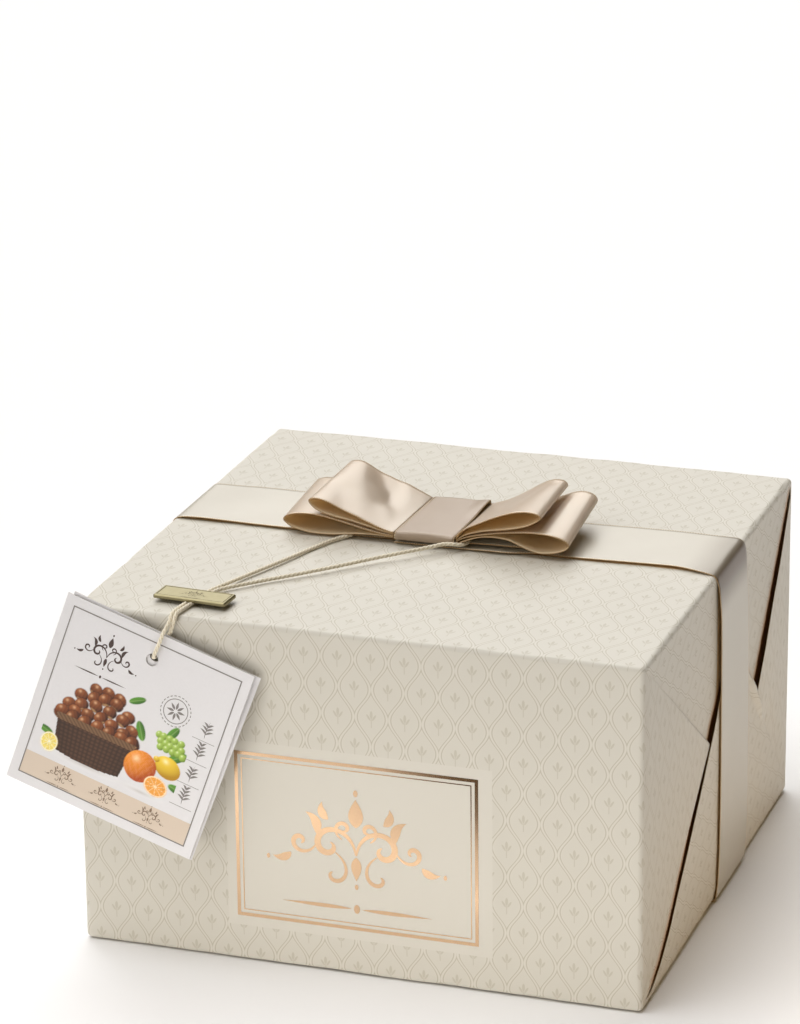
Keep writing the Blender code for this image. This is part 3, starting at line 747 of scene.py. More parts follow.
# the right half of the band at its front edge, which is curled up and hangs a little clear of the folded
# end, and at its back edge, which lies nearer: (x, height above the top), then (x, z) down to the
# underside. The middle of the band drifts back as it goes down the right end; the left half has no drift.
FRONT_SHOULDER = [(0.0430, 0.0007), (0.0600, 0.0006), (0.0800, 0.0008), (0.0980, 0.0012), (0.1090, 0.0013),
                  (0.1165, 0.0011), (0.1215, 0.0006), (0.1244, -0.0006), (0.1257, -0.0032), (0.1264, -0.0066),
                  (0.1267, -0.0110), (0.1270, -0.0145), (0.1272, -0.0210), (0.1272, -0.0298)]
BACK_SHOULDER = [(0.0430, 0.0004), (0.0600, 0.0004), (0.0800, 0.0007), (0.0980, 0.0008), (0.1100, 0.0005),
                 (0.1180, 0.0004), (0.1222, 0.0003), (0.1241, -0.0006), (0.1252, -0.0022), (0.1258, -0.0058),
                 (0.1262, -0.0120), (0.1263, -0.0150), (0.1265, -0.0210), (0.1267, -0.0298)]
FRONT_HANG = [(0.1272, 0.1146), (0.1273, 0.0874), (0.1275, 0.0591), (0.1274, 0.0305), (0.1271, 0.0161),
              (0.1264, 0.0050), (0.1250, 0.0007), (0.1200, 0.0003), (0.1150, 0.0003), (0.1050, 0.0003),
              (0.0700, 0.0003), (0.0200, 0.0003)]
BACK_HANG = [(0.1268, 0.1146), (0.1272, 0.0874), (0.1275, 0.0591), (0.1277, 0.0305), (0.1275, 0.0161),
             (0.1268, 0.0050), (0.1251, 0.0006), (0.1200, 0.0003), (0.1150, 0.0003), (0.1050, 0.0003),
             (0.0700, 0.0003), (0.0200, 0.0003)]
RIGHT_MIDDLE = [0.0114, 0.0114, 0.0117, 0.0119, 0.0121, 0.0122, 0.0122, 0.0122, 0.0124, 0.0128, 0.0131,
                0.0134, 0.0140, 0.0147, 0.0151, 0.0154, 0.0155, 0.0156, 0.0156, 0.0156, 0.0155, 0.0153,
                0.0152, 0.0150, 0.0147, 0.0145]
# how the two ends lie over the box beneath the bow: (x, height above the top)
LIE = 0.0005
UNDER_END = [(-0.020, LIE), (0.010, 0.0006), (0.026, 0.0009)]
OVER_END = [(-0.060, LIE), (-0.044, LIE), (-0.032, 0.0006), (-0.024, 0.0011), (-0.012, 0.0014),
            (0.000, 0.0017), (0.015, 0.0024), (0.030, 0.0028), (0.046, 0.0020)]


def band_lines():
    """(x, z) of the front and of the back edge and the middle's y, from the end beneath to the end above."""
    both = np.concatenate([[(x, BOX_TALL + z) for x, z in shoulder] + hang for shoulder, hang in (
        (FRONT_SHOULDER, FRONT_HANG), (BACK_SHOULDER, BACK_HANG))], axis=1)
    right = np.concatenate([both, np.array(RIGHT_MIDDLE)[:, None]], axis=1)
    left = np.concatenate([both * (-1, 1, -1, 1), np.full((len(both), 1), MID_LEFT)], axis=1)[::-1]
    under = np.array([(x, BOX_TALL + z) * 2 + (MID_RIGHT,) for x, z in UNDER_END])
    over = np.array([(x, BOX_TALL + z) * 2 + (MID_LEFT,) for x, z in OVER_END])
    lines = smooth_through(np.concatenate([under, right, left[:-1], over]), 0.0011)
    return lines[:, :2], lines[:, 2:4], lines[:, 4]


def make_band():
    """The band: ruled across between the lines of its front and back edges, with the front edge curled up.

    At a share v of the way back it is back + (front - back) (1 - v^0.7), with a soft ripple of 0.12 mm on
    the top. On the right half of the top the front edge is drawn back, by up to 3.4 mm (1 - v)^2.
    """
    front, back, middle = band_lines()
    run = run_length(front)[:, None]
    v = np.linspace(0, 1, 25)
    x, z = (back[:, k, None] + (front - back)[:, k, None] * (1 - v ** 0.7) for k in (0, 1))
    flat_top = ease(z, BOX_TALL - 0.0005, BOX_TALL + 0.0004) * ease(np.abs(x), 0.030, 0.060)
    z = z + 0.00012 * flat_top * ripple(run, v * 0.05, 0.04, 21)
    drawn = ease(front[:, 0], 0.030, 0.046) * ease(-front[:, 0], -0.1230, -0.104)
    drawn = drawn * (front[:, 1] > BOX_TALL - 0.01)
    y = middle[:, None] + (v - 0.5) * RIBBON_WIDE + 0.0034 * drawn[:, None] * (1 - v) ** 2
    points, uv = together(x, y, z), together(v * RIBBON_WIDE, run)
    band = grid_piece("satin_ribbon_band", points[:, ::-1], uv[:, ::-1], [band_satin, selvedge, satin_back],
                      thick=RIBBON_THICK)
    return band, run[-1, 0]


band, band_length = make_band()
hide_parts("ribbon_band")

# The bow
# Two lengths of the same satin ribbon, each laid as a left and a right loop and pinched in the middle.
# Each loop edge is a smooth line through a few places in mm, (distance from the middle, height).
BOW_FRONT, BOW_BACK = -0.0140, 0.0350
LOWER_LEFT_FRONT = [(20, 3.7), (24, 3.9), (29.3, 4.6), (34.6, 5.6), (40, 6.8), (47.4, 8.4), (53.3, 9.4),
                    (58.6, 9.8), (64, 9.6), (68.3, 8.6), (70.8, 7.2), (71.2, 5.9), (69.5, 4.3), (66.8, 2.9),
                    (61.5, 1.6), (56.1, 1.15), (47.5, 1.5), (40, 2.5), (34, 3.0), (27.2, 3.2), (20, 3.0)]
LOWER_LEFT_BACK = [(19, 3.7), (25, 4.2), (31, 5.0), (38, 6.3), (46, 7.7), (53, 8.9), (60, 9.8), (66, 9.9),
                   (71, 9.1), (73.4, 7.6), (73.2, 6.0), (71, 4.6), (66, 3.4), (60, 2.6), (52, 2.3), (43, 2.7),
                   (36, 3.1), (30, 3.3), (25, 3.2), (22, 3.1), (19, 3.0)]
UPPER_LEFT_FRONT = [(20, 5.1), (24, 5.9), (29.3, 7.7), (34.6, 9.8), (39.9, 12.2), (44, 14.1), (48, 15.7),
                    (52.1, 16.9), (55.8, 17.4), (58.4, 17.0), (59.3, 15.9), (58, 14.0), (55.5, 12.2),
                    (52, 10.9), (47.4, 9.8), (42, 9.0), (37, 8.0), (32, 6.9), (27, 5.7), (23, 4.9), (20, 4.4)]
UPPER_LEFT_BACK = [(18, 5.1), (21, 6.6), (25, 8.4), (29, 10.4), (33, 12.4), (37, 14.4), (41, 16.4),
                   (45, 18.2), (49, 19.4), (53, 19.6), (56.4, 18.7), (57.8, 17.0), (57, 15.2), (54, 13.4),
                   (49, 12.0), (43, 10.6), (37, 9.2), (31, 7.6), (26, 6.2), (21, 4.9), (18, 4.4)]
UPPER_RIGHT_FRONT = [(8.6, 5.1), (9.8, 7.7), (13.5, 10.5), (19, 13.3), (24.5, 16.0), (30.1, 18.3),
                     (35.5, 20.0), (41, 20.7), (44.8, 20.3), (46.8, 19.2), (46.9, 18.2), (45.4, 16.9),
                     (42.1, 15.0), (38.3, 13.5), (32.8, 12.1), (27.3, 11.1), (22, 10.2), (17, 8.9),
                     (13, 7.5), (10.4, 5.9), (8.6, 4.4)]
UPPER_RIGHT_BACK = [(9.6, 5.1), (12, 5.9), (15.5, 7.1), (20.3, 9.3), (25.9, 12.6), (29, 14.6), (32, 16.6),
                    (35.5, 18.6), (39.5, 19.8), (43.2, 19.4), (44.8, 17.9), (44.3, 16.4), (42, 15.0),
                    (38, 13.4), (33, 11.8), (28, 10.0), (23, 8.3), (18, 6.7), (14.5, 5.6), (12, 4.9),
                    (9.6, 4.4)]
LOWER_RIGHT_FRONT = [(8.6, 3.7), (10.7, 5.3), (14.5, 6.8), (19, 8.0), (25, 9.2), (31, 10.2), (37, 10.9),
                     (43, 11.4), (49, 11.3), (54, 10.6), (58, 9.2), (59.8, 7.4), (58.6, 5.5), (55.2, 3.9),
                     (50.9, 2.9), (46.5, 2.6), (42.7, 3.3), (37.7, 5.1), (31, 7.4), (20, 7.2), (8.6, 3.0)]
LOWER_RIGHT_BACK = [(9.6, 3.7), (14, 4.4), (20, 5.8), (27, 7.6), (34, 9.6), (40, 11.6), (44.5, 13.4),
                    (49, 14.9), (53.5, 15.3), (57, 14.2), (58.5, 12.1), (57.5, 9.6), (54.5, 7.4), (50, 5.9),
                    (44, 5.2), (38, 5.2), (32, 5.2), (25, 4.7), (18, 3.9), (13, 3.3), (9.6, 3.0)]
# dents pressed into the loops' upper sides: (depth, half its width, (x, y) where it starts and ends)
UPPER_LEFT_DENTS = [(0.0021, 0.0065, (-0.030, 0.012), (-0.043, 0.036)),
                    (-0.0007, 0.0040, (-0.024, -0.002), (-0.037, 0.018)),
                    (0.0010, 0.0060, (-0.045, -0.010), (-0.049, 0.004)),
                    (0.0006, 0.0035, (-0.026, 0.018), (-0.034, 0.036))]
UPPER_RIGHT_DENTS = [(0.0007, 0.0050, (0.024, 0.004), (0.036, 0.030))]
LOWER_RIGHT_DENTS = [(0.0008, 0.0055, (0.036, 0.004), (0.042, 0.030))]


def loop_edge(places, side, y, steps=110):
    """One edge of a loop at y, with its points spaced evenly."""
    line = evenly(smooth_through(np.array(places) * (side * 0.001, 0.001), 0.0004), steps)
    return together(line[:, 0], y, BOX_TALL + line[:, 1])


def make_loop(word, places_front, places_back, side, dents=()):
    """A bow loop: ruled from its front edge to its back edge, with dents pressed into its upper half.

    The surface is front + (back - front) v. A dent is a bell-shaped hollow along a line in plan, which
    fades towards the knot; one of negative depth is a swelling.
    """
    front, back = loop_edge(places_front, side, BOW_FRONT), loop_edge(places_back, side, BOW_BACK)
    v = np.linspace(0, 1, 29)[None, :, None]
    points = front[:, None] * (1 - v) + back[:, None] * v
    upper = (np.arange(len(front)) < len(front) // 2)[:, None]
    for depth, wide, start, end in dents:
        along, plan = np.subtract(end, start), points[..., :2] - start
        share = np.clip((plan @ along) / (along @ along), 0, 1)
        away = np.linalg.norm(plan - share[..., None] * along, axis=-1)
        hollow = depth * np.exp(-(away / wide) ** 2)
        points[..., 2] -= upper * hollow * ease(np.abs(points[..., 0]), 0.023, 0.034)
    run = run_length((front + back) / 2)
    uv = together(v[..., 0] * RIBBON_WIDE, run[:, None])
    piece = grid_piece(f"bow_loop_{word}", points[::-side], uv[::-side], [bow_satin, selvedge, satin_back],
                       thick=RIBBON_THICK)
    return piece


lower_left = make_loop("lower_left", LOWER_LEFT_FRONT, LOWER_LEFT_BACK, -1)
make_loop("lower_right", LOWER_RIGHT_FRONT, LOWER_RIGHT_BACK, 1, LOWER_RIGHT_DENTS)
upper_left = make_loop("upper_left", UPPER_LEFT_FRONT, UPPER_LEFT_BACK, -1, UPPER_LEFT_DENTS)
make_loop("upper_right", UPPER_RIGHT_FRONT, UPPER_RIGHT_BACK, 1, UPPER_RIGHT_DENTS)
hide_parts("bow_lower_loops")
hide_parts("bow_upper_loops")

# the band over the middle: its section from front to back and from low to high, with small round corners
KNOT_FRONT, KNOT_BACK = -0.0150, 0.0360
KNOT_LOW, KNOT_HIGH, KNOT_ROUND = BOX_TALL + 0.0022, BOX_TALL + 0.0058, 0.0017


def make_knot():
    """The band over the bow's middle: a rounded ring in the YZ plane, ruled from its left to its right edge.

    Its upper face is crowned by 0.5 mm, and the right edge curls up by 1.2 mm towards the back.
    """
    y0, y1 = KNOT_FRONT + KNOT_ROUND, KNOT_BACK - KNOT_ROUND
    z0, z1 = KNOT_LOW + KNOT_ROUND, KNOT_HIGH - KNOT_ROUND
    ring = np.concatenate([arc(centre, KNOT_ROUND, start, start - 90, 9) for centre, start in (
        ((y1, z1), 90), ((y1, z0), 0), ((y0, z0), -90), ((y0, z1), 180))])
    ring = evenly(np.concatenate([ring, ring[:1]]), 241)[:-1]
    y, z = ring.T[..., None]
    share = (y - KNOT_FRONT) / (KNOT_BACK - KNOT_FRONT)
    left, right = -0.0193 + 0.0022 * share, 0.0080 + 0.0012 * share
    v = np.linspace(0, 1, 21)
    curl = ease(v, 0.72, 1.0) * ease(share, 0.45, 0.92)
    crown = (0.0005 * 4 * v * (1 - v) + 0.0012 * curl) * ease(z, KNOT_HIGH - 0.0006, KNOT_HIGH)
    points, run = together(left + (right - left) * v, y, z + crown), run_length(ring)
    piece = grid_piece("bow_knot_wrap", points, together(v * RIBBON_WIDE, run[:, None]),
                       [shaded_knot_satin, selvedge, satin_back], wrap=True, thick=RIBBON_THICK)
    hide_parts("bow_knot_band")


make_knot()

# The brass plate
# A small die-cast brass bar that lies over both runs of the cord: a bevelled rim, an engraved line along
# it, and a small engraved ornament on the field inside the line.
PLATE_MID, PLATE_TURN = (-0.0774, -0.1063), math.radians(-3.3)
PLATE_HALF, PLATE_TOP = (0.01665, 0.00625), BOX_TALL + 0.0033
FIELD_DEEP = 0.00004
# the plate's section from its underside to its middle, as (inset from the outline, height above its rim)
PLATE_SECTION = [(0.0008, -0.00175), (0.0002, -0.00165), (0.0, -0.0014), (0.0, -0.00055), (0.00008, -0.00040),
                 (0.00050, -0.00003), (0.00060, 0.0), (0.00110, 0.0), (0.00118, -0.00012),
                 (0.00142, -0.00012), (0.00150, -FIELD_DEEP), (0.0030, -FIELD_DEEP), (0.0055, -FIELD_DEEP)]
# the steps of the section that are the engraved line
ENGRAVED = (7, 10)

# Cast brass, pale and slightly tarnished, matt from the mould; the engraving is darkened.
brass, tree, shader = new_finish("pale_cast_brass", 0.42, {"Metallic": 1.0})
feed(shader, {"Base Color": clouded(tree, 420.0, 3.0, "#9E9676", "#8E8667")})
engraved, tree, shader = new_finish("dark_engraved_brass", 0.5, {"Metallic": 1.0, "Base Color": "#4E4528"})


def on_plate(right, up, lift=0.0):
    """Places on the plate's field: right and up along it, and how far above it."""
    c, s = math.cos(PLATE_TURN), math.sin(PLATE_TURN)
    return together(PLATE_MID[0] + c * right - s * up, PLATE_MID[1] + s * right + c * up,
                    PLATE_TOP - FIELD_DEEP + lift)


def rounded_ring(half_wide, half_tall, radius):
    """A rectangle with rounded corners, eight points to a corner, anticlockwise."""
    reach = np.array([half_wide - radius, half_tall - radius])
    corners = [((1, 1), 0), ((-1, 1), 90), ((-1, -1), 180), ((1, -1), 270)]
    return np.concatenate([arc(reach * sign, radius, turn, turn + 90, 8) for sign, turn in corners])


def make_plate():
    """The plate: its section carried round a rectangle with small round corners, closed above and below."""
    rings = []
    for inset, height in PLATE_SECTION:
        ring = rounded_ring(PLATE_HALF[0] - inset, PLATE_HALF[1] - inset, max(0.0010 - inset, 0.0002))
        rings.append(on_plate(*np.concatenate([ring, ring[:1]]).T, height + FIELD_DEEP))
    plate = grid_piece("brass_plate_bar", np.stack(rings), None, [brass, engraved], caps=True)
    columns = len(rings[0]) - 1
    dark = np.zeros(len(plate.data.polygons), dtype=np.int32)
    dark[ENGRAVED[0] * columns:ENGRAVED[1] * columns] = 1
    plate.data.polygons.foreach_set("material_index", dark)
    merge(plate)
    plate.data.shade_flat()
    return plate


plate = make_plate()
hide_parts("brass_plate")
printed("plate_ornament", ornament(), on_plate, engraved, (0.0, -0.0003), 0.0052, 0.00003)

# The tag
# Two square leaves of smooth white card on the cord, each punched with a round hole. The front one is
# printed with a grey border line, a beige band, scroll ornaments, a rosette, sprigs and a still life.
TAG_SIDE, TAG_THICK, HOLE_RADIUS = 0.088, 0.00045, 0.00275
FRONT_HOLE, REAR_HOLE = (0.0, 0.0318), (-0.0016, 0.0336)
REAR_SHIFT, REAR_TURN, REAR_BACK = (0.0016, 0.0005), math.radians(1.0), 0.0008

# Coated card: smooth, cool white and slightly clouded, with a duller cut edge.
card, tree, shader = new_finish("smooth_white_card", 0.55)
feed(shader, {"Base Color": clouded(tree, 900.0, 2.0, "#E4E3E5", "#E8E7E9")})
card_edge, tree, shader = new_finish("cut_card_edge", 0.8, {"Base Color": "#C9C4BC"})


def card_leaf(name, hole, place):
    """A square leaf with a round hole: rays from the hole's edge to points along the square's sides."""
    half = TAG_SIDE / 2
    t = np.linspace(-half, half, 37)[:-1]
    outer = np.concatenate([together(t, -half), together(half, t), together(-t, half), together(-half, -t)])
    ray = outer - hole
    inner = hole + ray / np.linalg.norm(ray, axis=1, keepdims=True) * HOLE_RADIUS
    share = np.linspace(0, 1, 17)[None, :, None] ** 1.5
    flat = inner[:, None] + (outer - inner)[:, None] * share
    points = place(flat[..., 0], flat[..., 1], 0.0)
    leaf_piece = grid_piece(name, points, None, [card, card_edge], wrap=True, thick=TAG_THICK)
    leaf_piece.data.shade_flat()
    return leaf_piece


def on_rear_leaf(right, up, lift=0.0):
    """Places on the rear leaf, which is shifted and turned behind the front one and sags at one corner."""
    c, s = math.cos(REAR_TURN), math.sin(REAR_TURN)
    sag = 0.0010 * ease(right, 0.020, 0.044) * ease(up, 0.0, 0.044)
    return on_tag(REAR_SHIFT[0] + c * right + s * up, REAR_SHIFT[1] - s * right + c * up,
                  lift - REAR_BACK - sag)


front_leaf = card_leaf("tag_card_front", FRONT_HOLE, on_tag)
rear_leaf = card_leaf("tag_card_rear", REAR_HOLE, on_rear_leaf)
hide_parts("tag_front")
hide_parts("tag_rear")

# Offset-printed inks: flat colour that keeps the card's soft sheen.
PRINT_OUT = TAG_THICK / 2 + 0.00002
inks = {word: new_finish(f"printed_ink_{word}", 0.5, {"Base Color": code})[0] for word, code in (
    ("grey", "#85807D"), ("beige", "#DBCBB9"), ("brown", "#4B3B36"), ("tan", "#8A7460"))}
BORDER, BORDER_LINE = 0.0398, 0.0005
BAND_UP, BAND_TALL = -0.0342, 0.0104


def bar(x0, x1, up, tall):
    """A level bar with square ends."""
    return np.array([(x0, up), (x1, up)]), np.array([tall, tall])


printed("tag_border", frame_strokes(-BORDER, BORDER, -BORDER, BORDER, BORDER_LINE), on_tag, inks["grey"],
        lift=PRINT_OUT + 0.00004)
printed("tag_band", [bar(-BORDER, BORDER, BAND_UP, BAND_TALL)], on_tag, inks["beige"], lift=PRINT_OUT)
printed("tag_ornament", ornament(1.3), on_tag, inks["brown"], (-0.0190, 0.0250), 0.0125, PRINT_OUT)
for number, middle in enumerate((-0.0210, 0.0, 0.0210)):
    printed(f"tag_band_ornament_{number + 1}", ornament(1.3), on_tag, inks["tan"], (middle, -0.0338), 0.0062,
            PRINT_OUT + 0.00005)

# a round rosette and a column of small sprigs between fine rules, all in grey line
SEAL_MID, SEAL_RADIUS = (0.0170, 0.0150), 0.0068
COLUMN_X, SPRIGS_UP, SPRIG_TALL, RULE_HALF = 0.0325, (0.0130, 0.0025, -0.0080, -0.0185), 0.0082, 0.0052


def rosette():
    """A ring of dashes, a whole ring inside it, and eight petals, in units of the outer ring's radius."""
    strokes = [(arc((0, 0), 1.0, turn, turn + 9, 4), np.full(4, 0.05)) for turn in range(0, 360, 15)]
    strokes.append((arc((0, 0), 0.80, 0, 360, 61), np.full(61, 0.05)))
    for turn in range(0, 360, 45):
        out = arc((0, 0), 1.0, turn, turn, 1)[0]
        strokes.append(leaf(0.12 * out, 0.62 * out, 0.16, 0.0))
    return strokes


def sprig(count):
    """A stem with pairs of small leaves, in units of its height."""
    strokes = [leaf((0, -0.5), (0.05, 0.5), 0.05, 0.05)]
    for k in range(count):
        up = -0.25 + 0.2 * k
        strokes += [leaf((0.0, up), (side * (0.38 - 0.05 * k), up + 0.22), 0.11, side * 0.12)
                    for side in (-1, 1)]
    return strokes


printed("tag_rosette", rosette(), on_tag, inks["grey"], SEAL_MID, SEAL_RADIUS, PRINT_OUT)
rules = [bar(COLUMN_X - RULE_HALF, COLUMN_X + RULE_HALF, up - RULE_HALF, 0.0002) for up in SPRIGS_UP]
printed("tag_rules", rules, on_tag, inks["grey"], lift=PRINT_OUT)
for number, up in enumerate(SPRIGS_UP):
    printed(f"tag_sprig_{number + 1}", sprig(3 + number % 2), on_tag, inks["grey"], (COLUMN_X, up),
            SPRIG_TALL, PRINT_OUT)

# The printed still life: a basket heaped with chestnuts, with an orange, a lemon, a cut one of each, grapes
# and leaves beside it. Each thing is painted over the last on a fine grid, in millimetres on the tag.
PICTURE = (-36.0, 28.0, -27.5, 15.0)
PICTURE_STEP = 0.3
BASKET_X, RIM_UP, STRAND_TALL = -13.0, -8.6, 1.7
FOLIAGE = (((20, -8), 11, 4.6, 40), ((8, -4), 10, 4.4, 120), ((24, -17), 9, 4.0, -8),
           ((-30, -18), 8, 3.6, 165), ((17, 1), 9, 4.2, 62), ((-4, 10), 9, 3.6, 30))
# the heap of chestnuts, row by row: (height, half the row's length, how many)
NUT_ROWS = ((9.6, 6.0, 3), (6.2, 11.0, 5), (2.2, 15.0, 6), (-2.2, 17.0, 7), (-6.4, 16.4, 7))
# the cut fruit: (centre, half its size, turn, peel, flesh, pith)
CUT_FRUIT = (((19.4, -20.2), (5.9, 4.5), -12, "#E07A20", "#F5A848", "#FFE9C2"),
             ((-31.0, -21.6), (4.2, 4.6), 8, "#E8C030", "#F7E27A", "#FFFBE6"))


def tones(*codes):
    """sRGB hex colours as linear ones without alpha."""
    return [np.array(linear(code)[:3]) for code in codes]


def blob(right, up, centre, half, turn=0.0):
    """Places within an ellipse, as (p, q) with the rim at 1, and the mask of its inside, softly cut."""
    c, s = math.cos(math.radians(turn)), math.sin(math.radians(turn))
    x, y = right - centre[0], up - centre[1]
    p, q = (c * x + s * y) / half[0], (-s * x + c * y) / half[1]
    return p, q, np.clip((1 - np.hypot(p, q)) * min(half) / 0.35, 0, 1)


def ball(p, q, deep, base, shine):
    """The colour of a round thing lit from the upper left, deep at the lower right, with a soft highlight."""
    lit = np.clip(0.62 - 0.45 * p + 0.45 * q - 0.35 * (p * p + q * q), 0, 1)[..., None]
    glint = np.exp(-((p + 0.35) ** 2 + (q - 0.38) ** 2) / 0.045)[..., None]
    return deep + (base - deep) * lit * 1.35 + (shine - base) * glint * 0.75


def painted_still_life():
    """The picture's grid, the colour at each place, and how far the paint covers the card there.

    Round things are balls lit from the upper left, leaves have a pale vein, the basket is woven from
    waves across and along it, and a cut fruit has segments that part along the rays of its middle.
    """
    x0, x1, y0, y1 = PICTURE
    right, up = np.meshgrid(steps_along(x0, x1, PICTURE_STEP), steps_along(y0, y1, PICTURE_STEP),
                            indexing="ij")
    paint, cover = np.ones(right.shape + (3,)), np.zeros(right.shape)
    rng = np.random.default_rng(17)

    def lay(colour, mask):
        """Paint a colour over what is there, as far as its mask covers."""
        nonlocal paint, cover
        paint = paint * (1 - mask[..., None]) + colour * mask[..., None]
        cover = np.maximum(cover, mask)

    def fruit(centre, half, colours, turn=0.0, pores=0.0):
        """A round whole fruit."""
        p, q, mask = blob(right, up, centre, half, turn)
        lay(np.clip(ball(p, q, *colours) + pores, 0, 1), mask)

    grey, = tones("#A79F97")
    for centre, half in (((-13, -25), (21, 2.2)), ((14, -25.3), (12, 1.8))):
        p, q, _ = blob(right, up, centre, half)
        lay(grey, np.clip(1 - np.hypot(p, q), 0, 1) * 0.75)
    deep, base, pale = tones("#2F5A22", "#5F9A35", "#A9C97A")
    for root, length, wide, turn in FOLIAGE:
        p, q, mask = blob(right, up, arc(root, length / 2, turn, turn, 1)[0], (length / 2, wide / 2), turn)
        lit = np.clip(0.7 + 0.6 * q - 0.2 * p, 0, 1)[..., None]
        vein = np.exp(-(q / 0.10) ** 2)[..., None]
        lay(deep + (base - deep) * lit + (pale - base) * vein * 0.5, mask * (np.abs(q) < 1 - 0.35 * p * p))
    deep, base, shine, scar = tones("#3E1E12", "#8A4B25", "#E3B98C", "#C79A66")
    nuts = []
    for row, (height, reach, count) in enumerate(NUT_ROWS):
        for k in range(count):
            across = reach * (2 * k / (count - 1) - 1) + rng.uniform(-0.7, 0.7)
            drop = 0.018 * across ** 2 * (row < 4)
            nuts.append((across + BASKET_X, height - drop + rng.uniform(-0.6, 0.6)))
    for centre in nuts:
        turn, warm = rng.uniform(-40, 40), rng.uniform(0.85, 1.15)
        p, q, mask = blob(right, up, centre, (3.5, 3.0), turn)
        body = ball(p, q, deep * warm, base * warm, shine)
        streak = 0.10 * np.sin(p * 16)[..., None] * base
        pale = np.clip(1 - ((p - 0.1) / 0.65) ** 2 - ((q + 0.75) / 0.28) ** 2, 0, 1)[..., None]
        lay(np.clip(body + streak + (scar - body) * pale * 0.8, 0, 1), mask)
        lay(deep * 0.5, np.clip(1 - np.abs(np.hypot(p, q) - 0.96) / 0.10, 0, 1) * 0.55)
    dark, mid, pale = tones("#2B1D16", "#5A3D2A", "#8E6A4A")
    across = right - BASKET_X
    slope = 15.5 + (up + 24.5) * 0.17
    side = np.clip((slope - np.abs(across)) / 0.3, 0, 1) * (up > -24.8 + 0.006 * across ** 2) * (up < -8.2)
    height = (up + 30) / STRAND_TALL
    row = np.floor(height)
    strand = np.abs(np.sin((across / slope * 15 + row) * 0.55 * math.pi + row * 1.57))
    round_side = np.sqrt(np.clip(1 - (across / slope) ** 2, 0, 1))
    lit = (0.25 + 0.75 * strand * np.abs(np.sin(height * math.pi))) * (0.45 + 0.55 * round_side)
    lay(dark + (mid * 1.1 - dark) * lit[..., None], side)
    braid = np.abs(np.sin((right + (up - RIM_UP) * 1.2) * 1.5))[..., None]
    lay(dark + (pale - dark) * (0.25 + 0.6 * braid),
        np.clip((18.6 - np.abs(across)) / 0.3, 0, 1) * (np.abs(up - RIM_UP) < 1.5))
    for k in range(15):
        row, place = divmod(k, 5)
        across = 13.5 + place * 2.6 + row * 1.3 + rng.uniform(-0.4, 0.4)
        centre = (across, 2.4 - row * 2.6 + rng.uniform(-0.4, 0.4))
        fruit(centre, (1.9, 1.9), tones("#6F8F2C", "#A9C85A", "#F1F6CF"))
    for centre, half in (((21.8, -10.2), (6.6, 4.9)), ((15.9, -8.3), (1.7, 1.5))):
        fruit(centre, half, tones("#B98A12", "#F0CC3A", "#FFF6C4"), -18)
    pores = np.sin(right * 7.1 + np.sin(up * 5.3) * 2) * np.sin(up * 6.7 + np.sin(right * 4.9) * 2)
    fruit((10.2, -14.6), (7.6, 7.3), tones("#B5501A", "#EE9238", "#FFE3B8"), pores=0.05 * pores[..., None])
    for centre, half, turn, *codes in CUT_FRUIT:
        p, q, mask = blob(right, up, centre, half, turn)
        radius, angle = np.hypot(p, q), np.arctan2(q, p)
        peel, flesh, pith = tones(*codes)
        wall = np.clip(1 - np.abs(np.sin(angle * 5)) * radius / 0.16, 0, 1)[..., None]
        core = np.clip(1 - radius / 0.14, 0, 1)[..., None]
        face = flesh * (1 - 0.12 * np.sin(angle * 60 + radius * 20)[..., None])
        for colour, share in ((pith, wall), (pith, core), (pith, ease(radius, 0.80, 0.86)[..., None]),
                              (peel, ease(radius, 0.91, 0.95)[..., None])):
            face = face * (1 - share) + colour * share
        lay(np.clip(face, 0, 1), mask)
    return right, up, paint, cover


def make_picture():
    """The painted grid as a mesh with its colours in an attribute; the bare card's faces are left out."""
    right, up, paint, cover = painted_still_life()
    points = on_tag(right * 0.001, up * 0.001, PRINT_OUT).reshape(-1, 3)
    quads = corners_of(np.arange(right.size).reshape(right.shape))[:, (0, 3, 2, 1)]
    cover = cover.reshape(-1)
    quads = quads[cover[quads].max(axis=1) > 0.02]
    used, renumbered = np.unique(quads, return_inverse=True)
    blend = cover[used, None]
    ink = paint.reshape(-1, 3)[used] * blend + tones("#E6E5E7")[0] * (1 - blend)
    finish, tree, shader = new_finish("printed_picture_inks", 0.5)
    feed(shader, {"Base Color": add(tree, "Attribute", attribute_name="ink").outputs["Color"]})
    picture = new_piece("tag_picture", points[used], renumbered.reshape(-1, 4).tolist(), finish)
    colour_points(picture.data, "ink", np.concatenate([ink, np.ones((len(ink), 1))], axis=1))


make_picture()

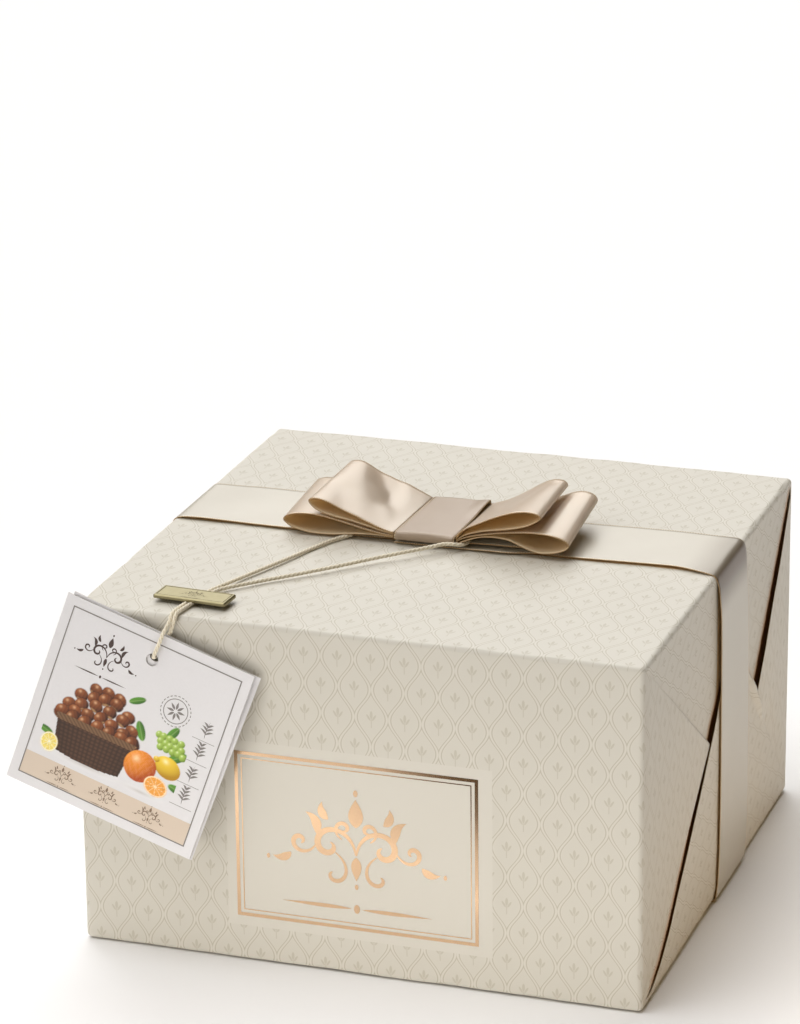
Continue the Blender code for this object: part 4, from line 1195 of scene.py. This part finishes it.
# The studio
# A pale matt floor under three large soft lights: overhead, from behind over the top, and low from the
# front left. Two faint strips near the floor lift the foot of the front and of the right end, and a warm
# dim room fills the shadows.
FLOOR_HALF, FLOOR_Z = 6.0, -0.0002
floor_paint = new_finish("matt_pale_floor", 1.0, {"Base Color": "#FAFAFB", "Specular IOR Level": 0.0})[0]
floor_mesh = bpy.data.meshes.new("studio_floor")
floor_corners = [(x, y, FLOOR_Z) for x in (-FLOOR_HALF, FLOOR_HALF) for y in (-FLOOR_HALF, FLOOR_HALF)]
floor_mesh.from_pydata(floor_corners, [], [(0, 2, 3, 1)])
floor_mesh.materials.append(floor_paint)
new_object("studio_floor", floor_mesh)


def new_light(name, kind, travels, colour, **settings):
    """A light of some kind, with the way that its light travels, its colour and its other settings."""
    lamp = bpy.data.lights.new(name, kind)
    lamp.color = linear(colour)[:3]
    for key, value in settings.items():
        setattr(lamp, key, value)
    made = new_object(name, lamp)
    made.rotation_euler = Vector(travels).to_track_quat("-Z", "Y").to_euler()
    return made


# soft far lights: the way the light travels, how many degrees wide each looks, its irradiance, its colour
for name, travels, spread, power, colour in (
        ("overhead_light", (0.28, 0.12, -1.0), 58, 1.97, "#FFFFFF"),
        ("back_light", (0.38, -1.0, -1.0), 50, 1.62, "#FFFFFF"),
        ("front_left_light", (0.89, 1.0, -0.35), 60, 0.83, "#FFFCF8")):
    new_light(name, "SUN", travels, colour, angle=math.radians(spread), energy=power)
# strips 20 mm tall just off the floor, out of the picture and out of every reflection: where each is, the
# way it shines, its length, its power and its colour
for name, at, travels, length, power, colour in (
        ("front_strip", (0.02, -0.30, 0.012), (0.0, 0.175, 0.0), 0.36, 0.135, "#FFF8ED"),
        ("end_strip", (0.25, -0.02, 0.012), (-0.125, 0.0, 0.0), 0.30, 0.046, "#FFD490")):
    strip = new_light(name, "AREA", travels, colour, shape="RECTANGLE", size=length, size_y=0.02,
                      energy=power)
    strip.location = at
    strip.visible_glossy = False

world = bpy.data.worlds.new("studio")
world.use_nodes = True
feed(world.node_tree.nodes["Background"], {"Color": "#F2C470", "Strength": 0.070})
bpy.context.scene.world = world
bpy.context.scene.view_settings.view_transform = "Standard"
